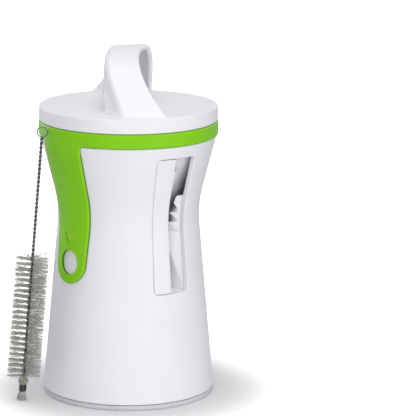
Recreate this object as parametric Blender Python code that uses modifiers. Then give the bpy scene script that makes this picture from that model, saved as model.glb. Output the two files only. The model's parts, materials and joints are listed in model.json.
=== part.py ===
"""Spiral vegetable grater: hourglass stand, turning drum of four blades, cap with a ribbon handle, and brush.

Units are metres and +Z is up. The origin is the centre of the pad's underside.
An azimuth is in degrees round +Z from the front (-Y), and grows towards the right (+X).
"""

import math
import random

import bmesh
import bpy
from mathutils import Matrix, Vector

# Clearances
GAP = 0.0003
JOURNAL_CLEARANCE = 0.0005
BLADE_SWEEP_CLEARANCE = 0.0008
# How far a joined shape starts inside the body that it joins
ROOTING = 0.0006

# Facets of round pieces, by size
BIG_ROUND = 40
MIDDLE_ROUND = 24
SMALL_ROUND = 12
HOLE_ROUND = 8
# Turn of a rod about its axis, which keeps its edges off the radial edges of what it cuts
ROD_PHASE = 2.0

# Pad and shell. The other radii follow from the shell's top, so that the pieces keep together.
PAD_THICKNESS = 0.0029
PAD_INSET = 0.0011
PAD_EDGE_DRAFT = 0.0009
SHELL_WALL = 0.0025
SHELL_TOP_RADIUS = 0.0490
SHELL_BASE_INSET = 0.0010
SHELL_TOP = 0.1467
WAIST_HEIGHT = 0.107
WAIST_BLEND = 0.011
UPPER_TAPER = 14.4
SHELL_EDGE_ROUND = 0.0008

# Window and outlet insert
WINDOW_BOTTOM = 0.0635
WINDOW_HEAD = 0.0067
WINDOW_LEFT_AZIMUTH = 19.3
WINDOW_RIGHT_AZIMUTH = 50.5
GUARD_EDGE_AZIMUTH = 33.7
GUARD_THICKNESS = 0.0022
CHUTE_WALL = 0.0026
CHUTE_TOP_WALL = 0.0016
CHUTE_SIDE_AZIMUTH = 6.0
CHUTE_ENTRY_LEFT_AZIMUTH = 12.0
CHUTE_ENTRY_RIGHT_AZIMUTH = 37.0

# Collar and its arm
COLLAR_OVERHANG = 0.0010
COLLAR_HEIGHT = 0.0080
COLLAR_EDGE_ROUND = 0.0012
COLLAR_INNER_ROUND = 0.0004
COLLAR_WALL = 0.0020
LEDGE_DEPTH = 0.0030
LEDGE_WIDTH = 0.0025
LINER_INSET = 0.0095
LINER_WALL = 0.0016
LINER_LENGTH = 0.0077
FUNNEL_DROP = 0.0045
ARM_AZIMUTH = -50.2
ARM_PROUD = 0.0020
ARM_INNER_CLEARANCE = 0.0005
ARM_ROOT_HALF_WIDTH = 0.0149
ARM_TIP_RADIUS = 0.0118
ARM_ROOT_FILLET = 0.0030
ARM_ROOT_DEPTH = 0.0015
ARM_FLARE = 0.0040
SIGHT_HOLE_HEIGHT = 0.0796
SIGHT_HOLE_RADIUS = 0.0068

# Drum
DRUM_WALL = 0.0024
DRUM_SOCKET_WALL = 0.0018
DRUM_SOCKET_CHAMFER = 0.0012
DRUM_FLANGE_THICKNESS = 0.0020
DRUM_TIP = 0.0620
DRUM_TIP_INNER_RADIUS = 0.0066
SPIGOT_RADIUS = 0.0041
LUG_COUNT = 3
LUG_AZIMUTH = 30.0
LUG_WIDTH = 0.0080
LUG_HEIGHT = 0.0026
LUG_REACH = 0.0014
LUG_WINDOW_DEPTH = 0.0060
DETENT_AZIMUTH = 180.0
DETENT_GROOVE_RADIUS = 0.0012
DETENT_GROOVE_LENGTH = 0.0035
LEAF_HEIGHT = 0.0030
LEAF_THICKNESS = 0.0004
LEAF_HALF_LENGTH = 0.0095
LEAF_SHOULDER = 0.0050
LEAF_BUMP_HALF_WIDTH = 0.0014
LEAF_BOW = 0.0006

# Blade stations
STATION_PITCH = 60.0
STATION_AZIMUTH = 30.0
BLADE_TOP_MARGIN = 0.0050
BLADE_TIP_MARGIN = 0.0080
BLADE_THICKNESS = 0.0006
BLADE_RAKE = 25.0
BLADE_REACH = 0.0043
BLADE_BED = 0.0050
BLADE_EDGE_BEVEL = 0.0012
BED_START = 0.0024
BED_MARGIN = 0.0004
BED_PAD_THICKNESS = 0.0008
SLOT_THROAT = 0.0040
SLOT_INNER_REACH = 0.0040
SLOT_OUTER_REACH = 0.0080
TOOTH_THICKNESS = 0.0004
TOOTH_REACH = 0.0018
TOOTH_DEPTH = 0.0013
FINE_PITCH = 0.0025
MEDIUM_PITCH = 0.0035
WIDE_PITCH = 0.0055
CLAMP_THICKNESS = 0.0016
CLAMP_SETBACK = 0.0012
CLAMP_FRONT_SLOPE = 0.0012
CLAMP_BACK_CHAMFER = 0.0006
CLAMP_SCREW_INSET = 0.0085
CLAMP_HOLE_START = 0.0060
CLAMP_HOLE_LENGTH = 0.0080

# Pivot column and base
BASE_PLATE_THICKNESS = 0.0024
COLUMN_RADIUS = 0.0085
COLUMN_BORE_RADIUS = 0.0070
COLUMN_SHOULDER = 0.0016
COLUMN_DRAFT = 0.0008
COLUMN_FLARE = 0.0030
COLUMN_FLARE_HEIGHT = 0.0060
BUSH_RADIUS = 0.0060
BUSH_LENGTH = 0.0110
BUSH_FLANGE_RADIUS = 0.0078
BUSH_FLANGE_THICKNESS = 0.0012
RIB_COUNT = 4
RIB_AZIMUTH = 45.0
RIB_LENGTH = 0.0300
RIB_HEIGHT = 0.0300
RIB_TOE = 0.0015
RIB_THICKNESS = 0.0020
BOSS_COUNT = 4
BOSS_AZIMUTH = 20.0
BOSS_INSET = 0.0039
BOSS_RADIUS = 0.0034
BOSS_HEIGHT = 0.0160
WASHER_RADIUS = 0.0062
WASHER_THICKNESS = 0.0012

# Screws: shank radius, head radius, head height
SCREW_RADIUS = 0.00125
SCREW_HEAD_RADIUS = 0.0024
SCREW_HEAD_HEIGHT = 0.0013
BASE_SCREW_LENGTH = 0.0120
RETAINER_SCREW_LENGTH = 0.0090
CLAMP_SCREW_RADIUS = 0.0008
CLAMP_SCREW_HEAD_RADIUS = 0.0016
CLAMP_SCREW_HEAD_HEIGHT = 0.0010
CLAMP_SCREW_BITE = 0.0010
CAP_SCREW_LENGTH = 0.0050

# Cap
CAP_INSET = 0.0003
CAP_HEIGHT = 0.0080
CAP_DOME = 0.0012
CAP_EDGE_ROUND = 0.0009
CAP_FOOT_CHAMFER = 0.0005
CAP_TOP_WALL = 0.0028
GUIDE_CLEARANCE = 0.0008
GUIDE_WALL = 0.0024
GUIDE_CHAMFER = 0.0006
GUIDE_LIP = 0.0022
GUIDE_LIP_RISE = 0.0062
GUIDE_LIP_THICKNESS = 0.0014
SPIKE_PLATE_THICKNESS = 0.0022
SPIKE_PLATE_CHAMFER = 0.0005
CAP_BOSS_INSET = 0.0152
CAP_BOSS_RADIUS = 0.0034
CAP_BOSS_COUNT = 4
CAP_BOSS_AZIMUTH = 45.0
PIN_COUNT = 8
PIN_CIRCLE = 0.0200
PIN_AZIMUTH = 11.0
PIN_RADIUS = 0.0009
PIN_LENGTH = 0.0130
PIN_SOCKET_SHARE = 0.75

# Ribbon handle: its front half follows three guide curves from the crest to the cap. Each has three control
# points, with heights over the cap's rim, and a foot, placed by its azimuth and its inset from the rim.
HANDLE_CREST = 0.0317
HANDLE_THICKNESS = 0.0026
HANDLE_SINK = 0.0012
HANDLE_CREASE_SHARE = 0.25
HANDLE_FREE_EDGE = (
    (-0.0088, 0.0, HANDLE_CREST),
    (-0.0137, -0.0115, HANDLE_CREST),
    (-0.0126, -0.0213, 0.0111),
)
HANDLE_CREASE = (
    (-0.0044, 0.0, HANDLE_CREST),
    (-0.0190, -0.0345, HANDLE_CREST),
    (-0.0057, -0.0341, 0.0118),
)
HANDLE_RIGHT_EDGE = (
    (0.0088, 0.0, HANDLE_CREST),
    (0.0001, -0.0205, HANDLE_CREST),
    (0.0089, -0.0409, 0.0122),
)
FREE_FOOT_INSET = 0.0213
FREE_FOOT_AZIMUTH = -25.9
CREASE_FOOT_INSET = 0.0028
CREASE_FOOT_AZIMUTH = -3.5
RIGHT_FOOT_INSET = 0.0030
RIGHT_FOOT_AZIMUTH = 27.4

# Brush, in its own frame: +Z runs from the tuft up the wire
BRUSH_FRONT = -0.0243
BRUSH_LEAN = 4.65
BRUSH_LIFT = 0.00035
LOOP_RADIUS = 0.0028
LOOP_WIRE_RADIUS = 0.00035
LOOP_DROP = 0.0028
STEM_RADIUS = 0.0009
TUFT_LENGTH = 0.0048
TUFT_RADIUS = 0.0030
BAND_LENGTH = 0.0040
BAND_RADIUS = 0.0021
BULB_LENGTH = 0.0046
BULB_RADIUS = 0.0034
BRISTLE_LENGTH = 0.0690
BRISTLE_RADIUS = 0.0102
BRISTLE_RINGS = 66
BRISTLES_IN_RING = 6
BRISTLE_TWIST = 22.0
BRISTLE_TIP = 0.00022

# Colours: red, green, blue, roughness, metallic
WHITE_PLASTIC = (0.88, 0.88, 0.89, 0.32, 0.0)
LIME_PLASTIC = (0.27, 0.60, 0.05, 0.35, 0.0)
GREY_PAD = (0.42, 0.42, 0.44, 0.80, 0.0)
STEEL = (0.66, 0.67, 0.69, 0.25, 1.0)
BRASS = (0.72, 0.56, 0.28, 0.35, 1.0)
BRISTLE_GREY = (0.36, 0.37, 0.33, 0.60, 0.0)
TUFT_GREY = (0.55, 0.54, 0.50, 0.90, 0.0)

# Radii that follow from the sizes above
SHELL_BASE_RADIUS = SHELL_TOP_RADIUS - SHELL_BASE_INSET
WAIST_CORNER_RADIUS = SHELL_TOP_RADIUS - math.tan(math.radians(UPPER_TAPER)) * (SHELL_TOP - WAIST_HEIGHT)
PAD_FOOT_RADIUS = SHELL_BASE_RADIUS - PAD_INSET
BOSS_CIRCLE = SHELL_BASE_RADIUS - SHELL_WALL - BOSS_INSET
COLLAR_RADIUS = SHELL_TOP_RADIUS + COLLAR_OVERHANG
LINER_RADIUS = SHELL_TOP_RADIUS - LINER_INSET
CAP_RADIUS = COLLAR_RADIUS - CAP_INSET
GUIDE_RADIUS = COLLAR_RADIUS - COLLAR_WALL - GUIDE_CLEARANCE
CAP_BOSS_CIRCLE = GUIDE_RADIUS - CAP_BOSS_INSET

# Heights that follow from the sizes above
SHELL_BOTTOM = PAD_THICKNESS + GAP
WINDOW_TOP = SHELL_TOP - WINDOW_HEAD
COLLAR_BOTTOM = SHELL_TOP + GAP
COLLAR_TOP = COLLAR_BOTTOM + COLLAR_HEIGHT
LOOP_HEIGHT = COLLAR_TOP - LOOP_DROP
LEDGE = COLLAR_TOP - LEDGE_DEPTH
LINER_END = COLLAR_BOTTOM - LINER_LENGTH
LINER_OUTER = LINER_RADIUS + LINER_WALL
SOCKET_RADIUS = LINER_OUTER + GAP
SOCKET_OUTER = SOCKET_RADIUS + DRUM_SOCKET_WALL
CONE_TOP = LINER_END - GAP
BLADE_TOP = CONE_TOP - BLADE_TOP_MARGIN
BLADE_BOTTOM = DRUM_TIP + BLADE_TIP_MARGIN
FLANGE_TOP = COLLAR_BOTTOM - GAP
FLANGE_BOTTOM = FLANGE_TOP - DRUM_FLANGE_THICKNESS
LUG_MIDDLE = (CONE_TOP + FLANGE_BOTTOM) / 2
CAP_BOTTOM = COLLAR_TOP + GAP
CAP_RIM = CAP_BOTTOM + CAP_HEIGHT
CAP_CEILING = CAP_RIM - CAP_TOP_WALL
GUIDE_BOTTOM = LEDGE + GAP
GUIDE_TOP = CAP_CEILING - GAP
GUIDE_LIP_TOP = GUIDE_BOTTOM + GUIDE_LIP_RISE
SPIKE_PLATE_TOP = GUIDE_LIP_TOP - GUIDE_LIP_THICKNESS - GAP
SPIKE_PLATE_BOTTOM = SPIKE_PLATE_TOP - SPIKE_PLATE_THICKNESS
PLATE_BOTTOM = SHELL_BOTTOM
PLATE_TOP = PLATE_BOTTOM + BASE_PLATE_THICKNESS
BUSH_TOP = DRUM_TIP - GAP
COLUMN_TOP = BUSH_TOP - BUSH_FLANGE_THICKNESS - GAP
SHOULDER_TOP = COLUMN_TOP - BUSH_LENGTH
SHOULDER_BOTTOM = SHOULDER_TOP - COLUMN_SHOULDER
SPIGOT_END = SHOULDER_BOTTOM - GAP
BED_WIDTH = BLADE_BED / math.cos(math.radians(BLADE_RAKE))


def clear_scene():
    for found in list(bpy.data.objects):
        bpy.data.objects.remove(found, do_unlink=True)


def new_collection(name):
    collection = bpy.data.collections.new(name)
    bpy.context.scene.collection.children.link(collection)
    return collection


def finish_material(name, values):
    """Material with a Principled BSDF of the given colour, roughness and metallic value."""
    material = bpy.data.materials.new(name)
    material.use_nodes = True
    shader = material.node_tree.nodes["Principled BSDF"]
    shader.inputs["Base Color"].default_value = (*values[:3], 1.0)
    shader.inputs["Roughness"].default_value = values[3]
    shader.inputs["Metallic"].default_value = values[4]
    return material


clear_scene()
PARTS = new_collection("spiral_vegetable_grater")
CUTTERS = new_collection("cutters")
MATERIALS = {
    "white": finish_material("white_plastic", WHITE_PLASTIC),
    "lime": finish_material("lime_plastic", LIME_PLASTIC),
    "pad": finish_material("grey_pad", GREY_PAD),
    "steel": finish_material("steel", STEEL),
    "brass": finish_material("brass", BRASS),
    "bristle": finish_material("bristle", BRISTLE_GREY),
    "tuft": finish_material("tuft", TUFT_GREY),
}


# Points and frames


def on_azimuth(radius, azimuth):
    """(x, y) at a radius and an azimuth."""
    angle = math.radians(azimuth)
    return radius * math.sin(angle), -radius * math.cos(angle)


def outward_frame(azimuth, radius, height):
    """Frame on a wall: X towards larger azimuth, Y up, Z outward."""
    angle = math.radians(azimuth)
    right = (math.cos(angle), math.sin(angle), 0.0)
    outward = (math.sin(angle), -math.cos(angle), 0.0)
    x, y = on_azimuth(radius, azimuth)
    columns = zip(right, (0.0, 0.0, 1.0), outward, (x, y, height))
    return Matrix([*columns, (0.0, 0.0, 0.0, 1.0)])


def shell_radius(height):
    """Outer radius of the hourglass: two straight tapers joined by a parabola at the waist."""
    low_slope = (WAIST_CORNER_RADIUS - SHELL_BASE_RADIUS) / (WAIST_HEIGHT - SHELL_BOTTOM)
    high_slope = (SHELL_TOP_RADIUS - WAIST_CORNER_RADIUS) / (SHELL_TOP - WAIST_HEIGHT)
    low = WAIST_CORNER_RADIUS + low_slope * (height - WAIST_HEIGHT)
    into_blend = height - (WAIST_HEIGHT - WAIST_BLEND)
    if into_blend <= 0.0:
        return low
    if into_blend < 2 * WAIST_BLEND:
        return low + (high_slope - low_slope) * into_blend**2 / (4 * WAIST_BLEND)
    return WAIST_CORNER_RADIUS + high_slope * (height - WAIST_HEIGHT)


def shell_inner_radius(height):
    return shell_radius(height) - SHELL_WALL


def waist_heights(low, high, steps):
    """Heights from low to high at which the hourglass needs a point."""
    start = WAIST_HEIGHT - WAIST_BLEND
    blend = [start + 2 * WAIST_BLEND * step / steps for step in range(steps + 1)]
    return [low, *[height for height in blend if low < height < high], high]


def cone_slope():
    return (LINER_RADIUS - DRUM_TIP_INNER_RADIUS) / (CONE_TOP - DRUM_TIP)


def cone_inner_radius(height):
    """Inner radius of the drum's cone."""
    return DRUM_TIP_INNER_RADIUS + cone_slope() * (height - DRUM_TIP)


def sweep_radius(height):
    """Radius that clears the blades, clamps and screws as the drum turns."""
    bed = BLADE_BED * math.tan(math.radians(BLADE_RAKE))
    stack = 2 * GAP + BLADE_THICKNESS + CLAMP_THICKNESS + CLAMP_SCREW_HEAD_HEIGHT
    return cone_inner_radius(height) + bed + stack + BLADE_SWEEP_CLEARANCE


def chute_top():
    """Height up to which the chute's wall fits between the drum and the shell, which closes in on it."""
    room_at_top = SHELL_TOP_RADIUS - SHELL_WALL - GAP - sweep_radius(SHELL_TOP)
    closing = cone_slope() - math.tan(math.radians(UPPER_TAPER))
    return SHELL_TOP - (CHUTE_TOP_WALL - room_at_top) / closing


def station_frame(index):
    """Frame at the top of a blade, on the cone's inner surface: X downstream, Y outward, Z down the cone."""
    lean = math.atan(cone_slope())
    downstream = Vector((0.0, 1.0, 0.0))
    normal = Vector((math.cos(lean), 0.0, -math.sin(lean)))
    down = downstream.cross(normal)
    origin = Vector((cone_inner_radius(BLADE_TOP), 0.0, BLADE_TOP))
    frame = Matrix([*zip(downstream, normal, down, origin), (0.0, 0.0, 0.0, 1.0)])
    turn = math.radians(STATION_AZIMUTH - 90.0 + index * STATION_PITCH)
    return Matrix.Rotation(turn, 4, "Z") @ frame


def bed_frame(index):
    """Frame of a blade's bed: as the station's, turned by the rake about the line where the bed starts."""
    tilt = Matrix.Rotation(math.radians(BLADE_RAKE), 4, "Z")
    return station_frame(index) @ Matrix.Translation((BED_START, 0.0, 0.0)) @ tilt


def blade_length():
    return (BLADE_TOP - BLADE_BOTTOM) / math.cos(math.atan(cone_slope()))


# Making solids


def add_object(name, mesh, material=None):
    made = bpy.data.objects.new(name, mesh)
    PARTS.objects.link(made)
    if material:
        mesh.materials.append(MATERIALS[material])
    return made


def mesh_from(bm, name):
    bmesh.ops.recalc_face_normals(bm, faces=bm.faces)
    mesh = bpy.data.meshes.new(name)
    bm.to_mesh(mesh)
    bm.free()
    return mesh


def smooth(made, angle=35.0):
    made.data.shade_smooth()
    made.data.set_sharp_from_angle(angle=math.radians(angle))
    return made


def turned(name, profile, material=None, facets=BIG_ROUND, closed=True):
    """Turn a profile of (radius, height) about +Z. It runs down its outer side, top to bottom."""
    mesh = bpy.data.meshes.new(name)
    count = len(profile)
    edges = [(index, index + 1) for index in range(count - 1)]
    if closed:
        edges.append((count - 1, 0))
    mesh.from_pydata([(radius, 0.0, height) for radius, height in profile], edges, [])
    made = add_object(name, mesh, material)
    screw = made.modifiers.new("turn", "SCREW")
    screw.axis = "Z"
    screw.steps = facets
    screw.render_steps = facets
    screw.use_merge_vertices = True
    screw.merge_threshold = 0.00001
    screw.use_smooth_shade = True
    screw.use_normal_calculate = False
    return made


def lofted(name, rings, material=None):
    """Closed solid through rings of the same number of points, with flat ends."""
    bm = bmesh.new()
    rows = [[bm.verts.new(point) for point in ring] for ring in rings]
    count = len(rows[0])
    for low, high in zip(rows, rows[1:]):
        for index in range(count):
            after = (index + 1) % count
            bm.faces.new((low[index], low[after], high[after], high[index]))
    bm.faces.new(rows[0])
    bm.faces.new(rows[-1])
    return add_object(name, mesh_from(bm, name), material)


def extruded(name, outline, depth, frame, material=None):
    """Extrude an outline of (x, y) along the frame's Z by depth."""
    rings = [[frame @ Vector((x, y, z)) for x, y in outline] for z in (0.0, depth)]
    return lofted(name, rings, material)


def rod(name, radius, length, frame, material=None, facets=SMALL_ROUND):
    """Cylinder from the frame's origin along its Z."""
    bm = bmesh.new()
    phase = Matrix.Rotation(math.radians(ROD_PHASE), 4, "Z")
    bmesh.ops.create_cone(
        bm,
        cap_ends=True,
        segments=facets,
        radius1=radius,
        radius2=radius,
        depth=length,
        matrix=frame @ Matrix.Translation((0.0, 0.0, length / 2)) @ phase,
    )
    return add_object(name, mesh_from(bm, name), material)


def boolean(made, other, operation):
    """Cut, join or intersect with a helper, which is kept out of the model."""
    modifier = made.modifiers.new(operation.lower() + "_" + other.name, "BOOLEAN")
    modifier.operation = operation
    modifier.object = other
    hide_helper(other)
    return made


def hide_helper(helper):
    for collection in list(helper.users_collection):
        collection.objects.unlink(helper)
    CUTTERS.objects.link(helper)
    helper.hide_render = True
    helper.display_type = "WIRE"


def cut(made, *helpers):
    for helper in helpers:
        boolean(made, helper, "DIFFERENCE")
    return made


def join(made, *helpers):
    for helper in helpers:
        boolean(made, helper, "UNION")
    return made


def arc(centre, radius, start, end, steps):
    """Points on an arc, in degrees."""
    turns = [math.radians(start + (end - start) * step / steps) for step in range(steps + 1)]
    return [(centre[0] + radius * math.cos(turn), centre[1] + radius * math.sin(turn)) for turn in turns]


def ring_at(frame, radius, height, facets):
    """Points round the frame's Z."""
    turns = [2 * math.pi * step / facets for step in range(facets)]
    return [frame @ Vector((radius * math.cos(turn), radius * math.sin(turn), height)) for turn in turns]


def screw_at(name, frame, length, sizes=(SCREW_RADIUS, SCREW_HEAD_RADIUS, SCREW_HEAD_HEIGHT)):
    """Screw with its head's underside at the frame's origin and its shank along Z."""
    radius, head_radius, head_height = sizes
    profile = [
        (radius, length),
        (radius, 0.0),
        (head_radius, 0.0),
        (head_radius, -0.6 * head_height),
        (0.75 * head_radius, -head_height),
    ]
    rings = [ring_at(frame, ring_radius, height, SMALL_ROUND) for ring_radius, height in profile]
    return smooth(lofted(name, rings, "steel"))


# Stand


def make_pad():
    side = PAD_FOOT_RADIUS + PAD_EDGE_DRAFT
    profile = [
        (0.0, PAD_THICKNESS),
        (side, PAD_THICKNESS),
        (side, PAD_THICKNESS * 0.55),
        (side - PAD_EDGE_DRAFT * 0.4, PAD_THICKNESS * 0.18),
        (PAD_FOOT_RADIUS, 0.0),
        (0.0, 0.0),
    ]
    return turned("non_slip_pad", profile, "pad", closed=False)


def make_shell():
    edge = SHELL_EDGE_ROUND
    outer = waist_heights(SHELL_BOTTOM + edge, SHELL_TOP - edge, 6)
    inner = waist_heights(SHELL_BOTTOM, SHELL_TOP, 4)
    profile = [(shell_radius(SHELL_TOP) - edge, SHELL_TOP)]
    profile += [(shell_radius(height), height) for height in reversed(outer)]
    profile += [(shell_radius(SHELL_BOTTOM) - edge, SHELL_BOTTOM)]
    profile += [(shell_inner_radius(height), height) for height in inner]
    shell = turned("outer_shell", profile, "white")
    for index, (x, y) in enumerate(boss_places()):
        boss_frame = Matrix.Translation((x, y, PLATE_TOP + GAP))
        join(shell, rod(f"boss_{index}", BOSS_RADIUS, BOSS_HEIGHT, boss_frame))
        pilot_frame = Matrix.Translation((x, y, PLATE_BOTTOM))
        cut(shell, rod(f"pilot_{index}", SCREW_RADIUS + GAP, BASE_SCREW_LENGTH + GAP, pilot_frame))
    window = wedge("window_cutter", WINDOW_LEFT_AZIMUTH, WINDOW_RIGHT_AZIMUTH, WINDOW_BOTTOM, WINDOW_TOP)
    return cut(shell, window)


def boss_places():
    turns = [BOSS_AZIMUTH + index * 360.0 / BOSS_COUNT for index in range(BOSS_COUNT)]
    return [on_azimuth(BOSS_CIRCLE, turn) for turn in turns]


def wedge(name, left, right, bottom, top):
    """Sector of a disc, larger than the body, between two azimuths and two heights."""
    reach = 2 * COLLAR_RADIUS
    outline = [(0.0, 0.0), on_azimuth(reach, left), on_azimuth(reach, right)]
    return extruded(name, outline, top - bottom, Matrix.Translation((0.0, 0.0, bottom)))


def chute_ring(height):
    """Plan of the chute's passage at a height, from the drum out past the window."""
    entry = sweep_radius(height) - CHUTE_WALL
    surface = shell_radius(height)
    reach = 1.3 * COLLAR_RADIUS
    plan = [
        on_azimuth(entry, CHUTE_ENTRY_LEFT_AZIMUTH),
        on_azimuth(surface - GUARD_THICKNESS, GUARD_EDGE_AZIMUTH),
        on_azimuth(reach, GUARD_EDGE_AZIMUTH),
        on_azimuth(reach, WINDOW_RIGHT_AZIMUTH),
        on_azimuth(surface - SHELL_WALL - GAP, WINDOW_RIGHT_AZIMUTH),
        on_azimuth(entry, CHUTE_ENTRY_RIGHT_AZIMUTH),
    ]
    return [(x, y, height) for x, y in plan]


def make_outlet_guard():
    """Insert flush with the shell in the window's left part, with the chute's walls behind it."""
    bottom = WINDOW_BOTTOM - CHUTE_WALL
    top = chute_top()
    block_heights = waist_heights(bottom, top, 4)
    block = [(shell_inner_radius(height) - GAP, height) for height in reversed(block_heights)]
    block += [(sweep_radius(height), height) for height in (bottom, top)]
    guard = turned("outlet_guard", block, "white")
    left = WINDOW_LEFT_AZIMUTH - CHUTE_SIDE_AZIMUTH
    right = WINDOW_RIGHT_AZIMUTH + CHUTE_SIDE_AZIMUTH
    boolean(guard, wedge("chute_sector", left, right, 0.0, SHELL_TOP), "INTERSECT")
    low = WINDOW_BOTTOM + GAP
    high = WINDOW_TOP - GAP
    face_heights = waist_heights(low, high, 6)
    face = [(shell_radius(height), height) for height in reversed(face_heights)]
    face += [(shell_radius(height) - SHELL_WALL - 2 * GAP, height) for height in face_heights]
    face_ring = turned("guard_face", face)
    inset = math.degrees(GAP / shell_radius(WAIST_HEIGHT))
    face_sector = wedge("guard_sector", WINDOW_LEFT_AZIMUTH + inset, GUARD_EDGE_AZIMUTH, 0.0, SHELL_TOP)
    boolean(face_ring, face_sector, "INTERSECT")
    join(guard, face_ring)
    passage_heights = waist_heights(WINDOW_BOTTOM + GAP, WINDOW_TOP + CHUTE_WALL, 4)
    passage = lofted("chute_passage", [chute_ring(height) for height in passage_heights])
    cut(guard, passage)
    return guard


def make_base_plate():
    edge_radius = shell_inner_radius(PLATE_TOP) - GAP
    profile = [
        (COLUMN_RADIUS, COLUMN_TOP),
        (COLUMN_RADIUS + COLUMN_DRAFT, PLATE_TOP + COLUMN_FLARE_HEIGHT),
        (COLUMN_RADIUS + COLUMN_FLARE, PLATE_TOP),
        (edge_radius, PLATE_TOP),
        (edge_radius, PLATE_BOTTOM),
        (COLUMN_BORE_RADIUS, PLATE_BOTTOM),
        (COLUMN_BORE_RADIUS, SHOULDER_BOTTOM),
        (SPIGOT_RADIUS + JOURNAL_CLEARANCE, SHOULDER_BOTTOM),
        (SPIGOT_RADIUS + JOURNAL_CLEARANCE, SHOULDER_TOP),
        (BUSH_RADIUS + GAP, SHOULDER_TOP),
        (BUSH_RADIUS + GAP, COLUMN_TOP),
    ]
    plate = turned("base_plate", profile, "white")
    root = COLUMN_RADIUS - ROOTING
    outline = [(root, 0.0), (RIB_LENGTH, 0.0), (RIB_LENGTH, RIB_TOE), (root, RIB_HEIGHT)]
    for index in range(RIB_COUNT):
        upright = outward_frame(RIB_AZIMUTH + index * 360.0 / RIB_COUNT, 0.0, PLATE_TOP - ROOTING)
        radial = upright @ Matrix.Rotation(math.radians(-90.0), 4, "Y")
        frame = radial @ Matrix.Translation((0.0, 0.0, -RIB_THICKNESS / 2))
        join(plate, extruded(f"rib_{index}", outline, RIB_THICKNESS, frame))
    for index, (x, y) in enumerate(boss_places()):
        through = Matrix.Translation((x, y, PLATE_BOTTOM - BASE_PLATE_THICKNESS))
        cut(plate, rod(f"plate_hole_{index}", SCREW_RADIUS + GAP, 3 * BASE_PLATE_THICKNESS, through))
        under = Matrix.Translation((x, y, PLATE_BOTTOM - GAP))
        cut(plate, rod(f"plate_recess_{index}", SCREW_HEAD_RADIUS + GAP, SCREW_HEAD_HEIGHT + 2 * GAP, under))
    return plate


def make_base_screws():
    for index, (x, y) in enumerate(boss_places()):
        frame = Matrix.Translation((x, y, PLATE_BOTTOM + SCREW_HEAD_HEIGHT))
        screw_at(f"base_screw_{index + 1}", frame, BASE_SCREW_LENGTH - SCREW_HEAD_HEIGHT - GAP)


def make_pivot_bush():
    bore = SPIGOT_RADIUS + GAP
    flange_bottom = BUSH_TOP - BUSH_FLANGE_THICKNESS
    profile = [
        (bore, BUSH_TOP),
        (BUSH_FLANGE_RADIUS, BUSH_TOP),
        (BUSH_FLANGE_RADIUS, flange_bottom),
        (BUSH_RADIUS, flange_bottom),
        (BUSH_RADIUS, SHOULDER_TOP + GAP),
        (bore, SHOULDER_TOP + GAP),
    ]
    return turned("pivot_bush", profile, "brass", facets=MIDDLE_ROUND)


def make_detent_spring():
    """Leaf clipped against the shell's wall, with its bump in a groove of the drum."""
    bottom = LUG_MIDDLE - LEAF_HEIGHT / 2
    wall = shell_inner_radius(bottom) - GAP - LEAF_BOW
    bump = SOCKET_OUTER + GAP
    inner = [
        (-LEAF_HALF_LENGTH, wall - 2 * LEAF_BOW),
        (-LEAF_SHOULDER, wall - LEAF_BOW),
        (-LEAF_BUMP_HALF_WIDTH, bump + 0.15 * (wall - bump)),
        (0.0, bump),
    ]
    inner += [(-x, radius) for x, radius in reversed(inner[:-1])]
    outline = inner + [(x, radius + LEAF_THICKNESS) for x, radius in reversed(inner)]
    turn = Matrix.Rotation(math.radians(DETENT_AZIMUTH), 4, "Z")
    frame = turn @ Matrix.Translation((0.0, 0.0, bottom))
    points = [(x, -radius) for x, radius in outline]
    return smooth(extruded("detent_spring", points, LEAF_HEIGHT, frame, "steel"))


# Drum and blades


def make_collar():
    edge = COLLAR_EDGE_ROUND
    inner = COLLAR_RADIUS - COLLAR_WALL
    ledge_inner = inner - LEDGE_WIDTH
    profile = [
        (inner, COLLAR_TOP - COLLAR_INNER_ROUND),
        (inner + COLLAR_INNER_ROUND, COLLAR_TOP),
        (COLLAR_RADIUS - edge, COLLAR_TOP),
        (COLLAR_RADIUS - 0.3 * edge, COLLAR_TOP - 0.3 * edge),
        (COLLAR_RADIUS, COLLAR_TOP - edge),
        (COLLAR_RADIUS, COLLAR_BOTTOM),
        (LINER_OUTER, COLLAR_BOTTOM),
        (LINER_OUTER, LINER_END),
        (LINER_RADIUS, LINER_END),
        (LINER_RADIUS, LEDGE - FUNNEL_DROP),
        (ledge_inner, LEDGE),
        (inner, LEDGE),
    ]
    collar = turned("selector_collar", profile, "lime")
    for index, azimuth in enumerate(lug_azimuths()):
        frame = outward_frame(azimuth, LINER_OUTER - LINER_WALL / 2, LUG_MIDDLE)
        outline = rectangle(LUG_WIDTH / 2, LUG_HEIGHT / 2)
        join(collar, extruded(f"lug_{index}", outline, LINER_WALL / 2 + LUG_REACH, frame))
    return join(collar, make_arm())


def lug_azimuths():
    return [LUG_AZIMUTH + index * 360.0 / LUG_COUNT for index in range(LUG_COUNT)]


def rectangle(half_width, half_height):
    return [
        (-half_width, -half_height),
        (half_width, -half_height),
        (half_width, half_height),
        (-half_width, half_height),
    ]


def arm_surface(height):
    return min(shell_radius(height) + ARM_PROUD, COLLAR_RADIUS)


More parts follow.
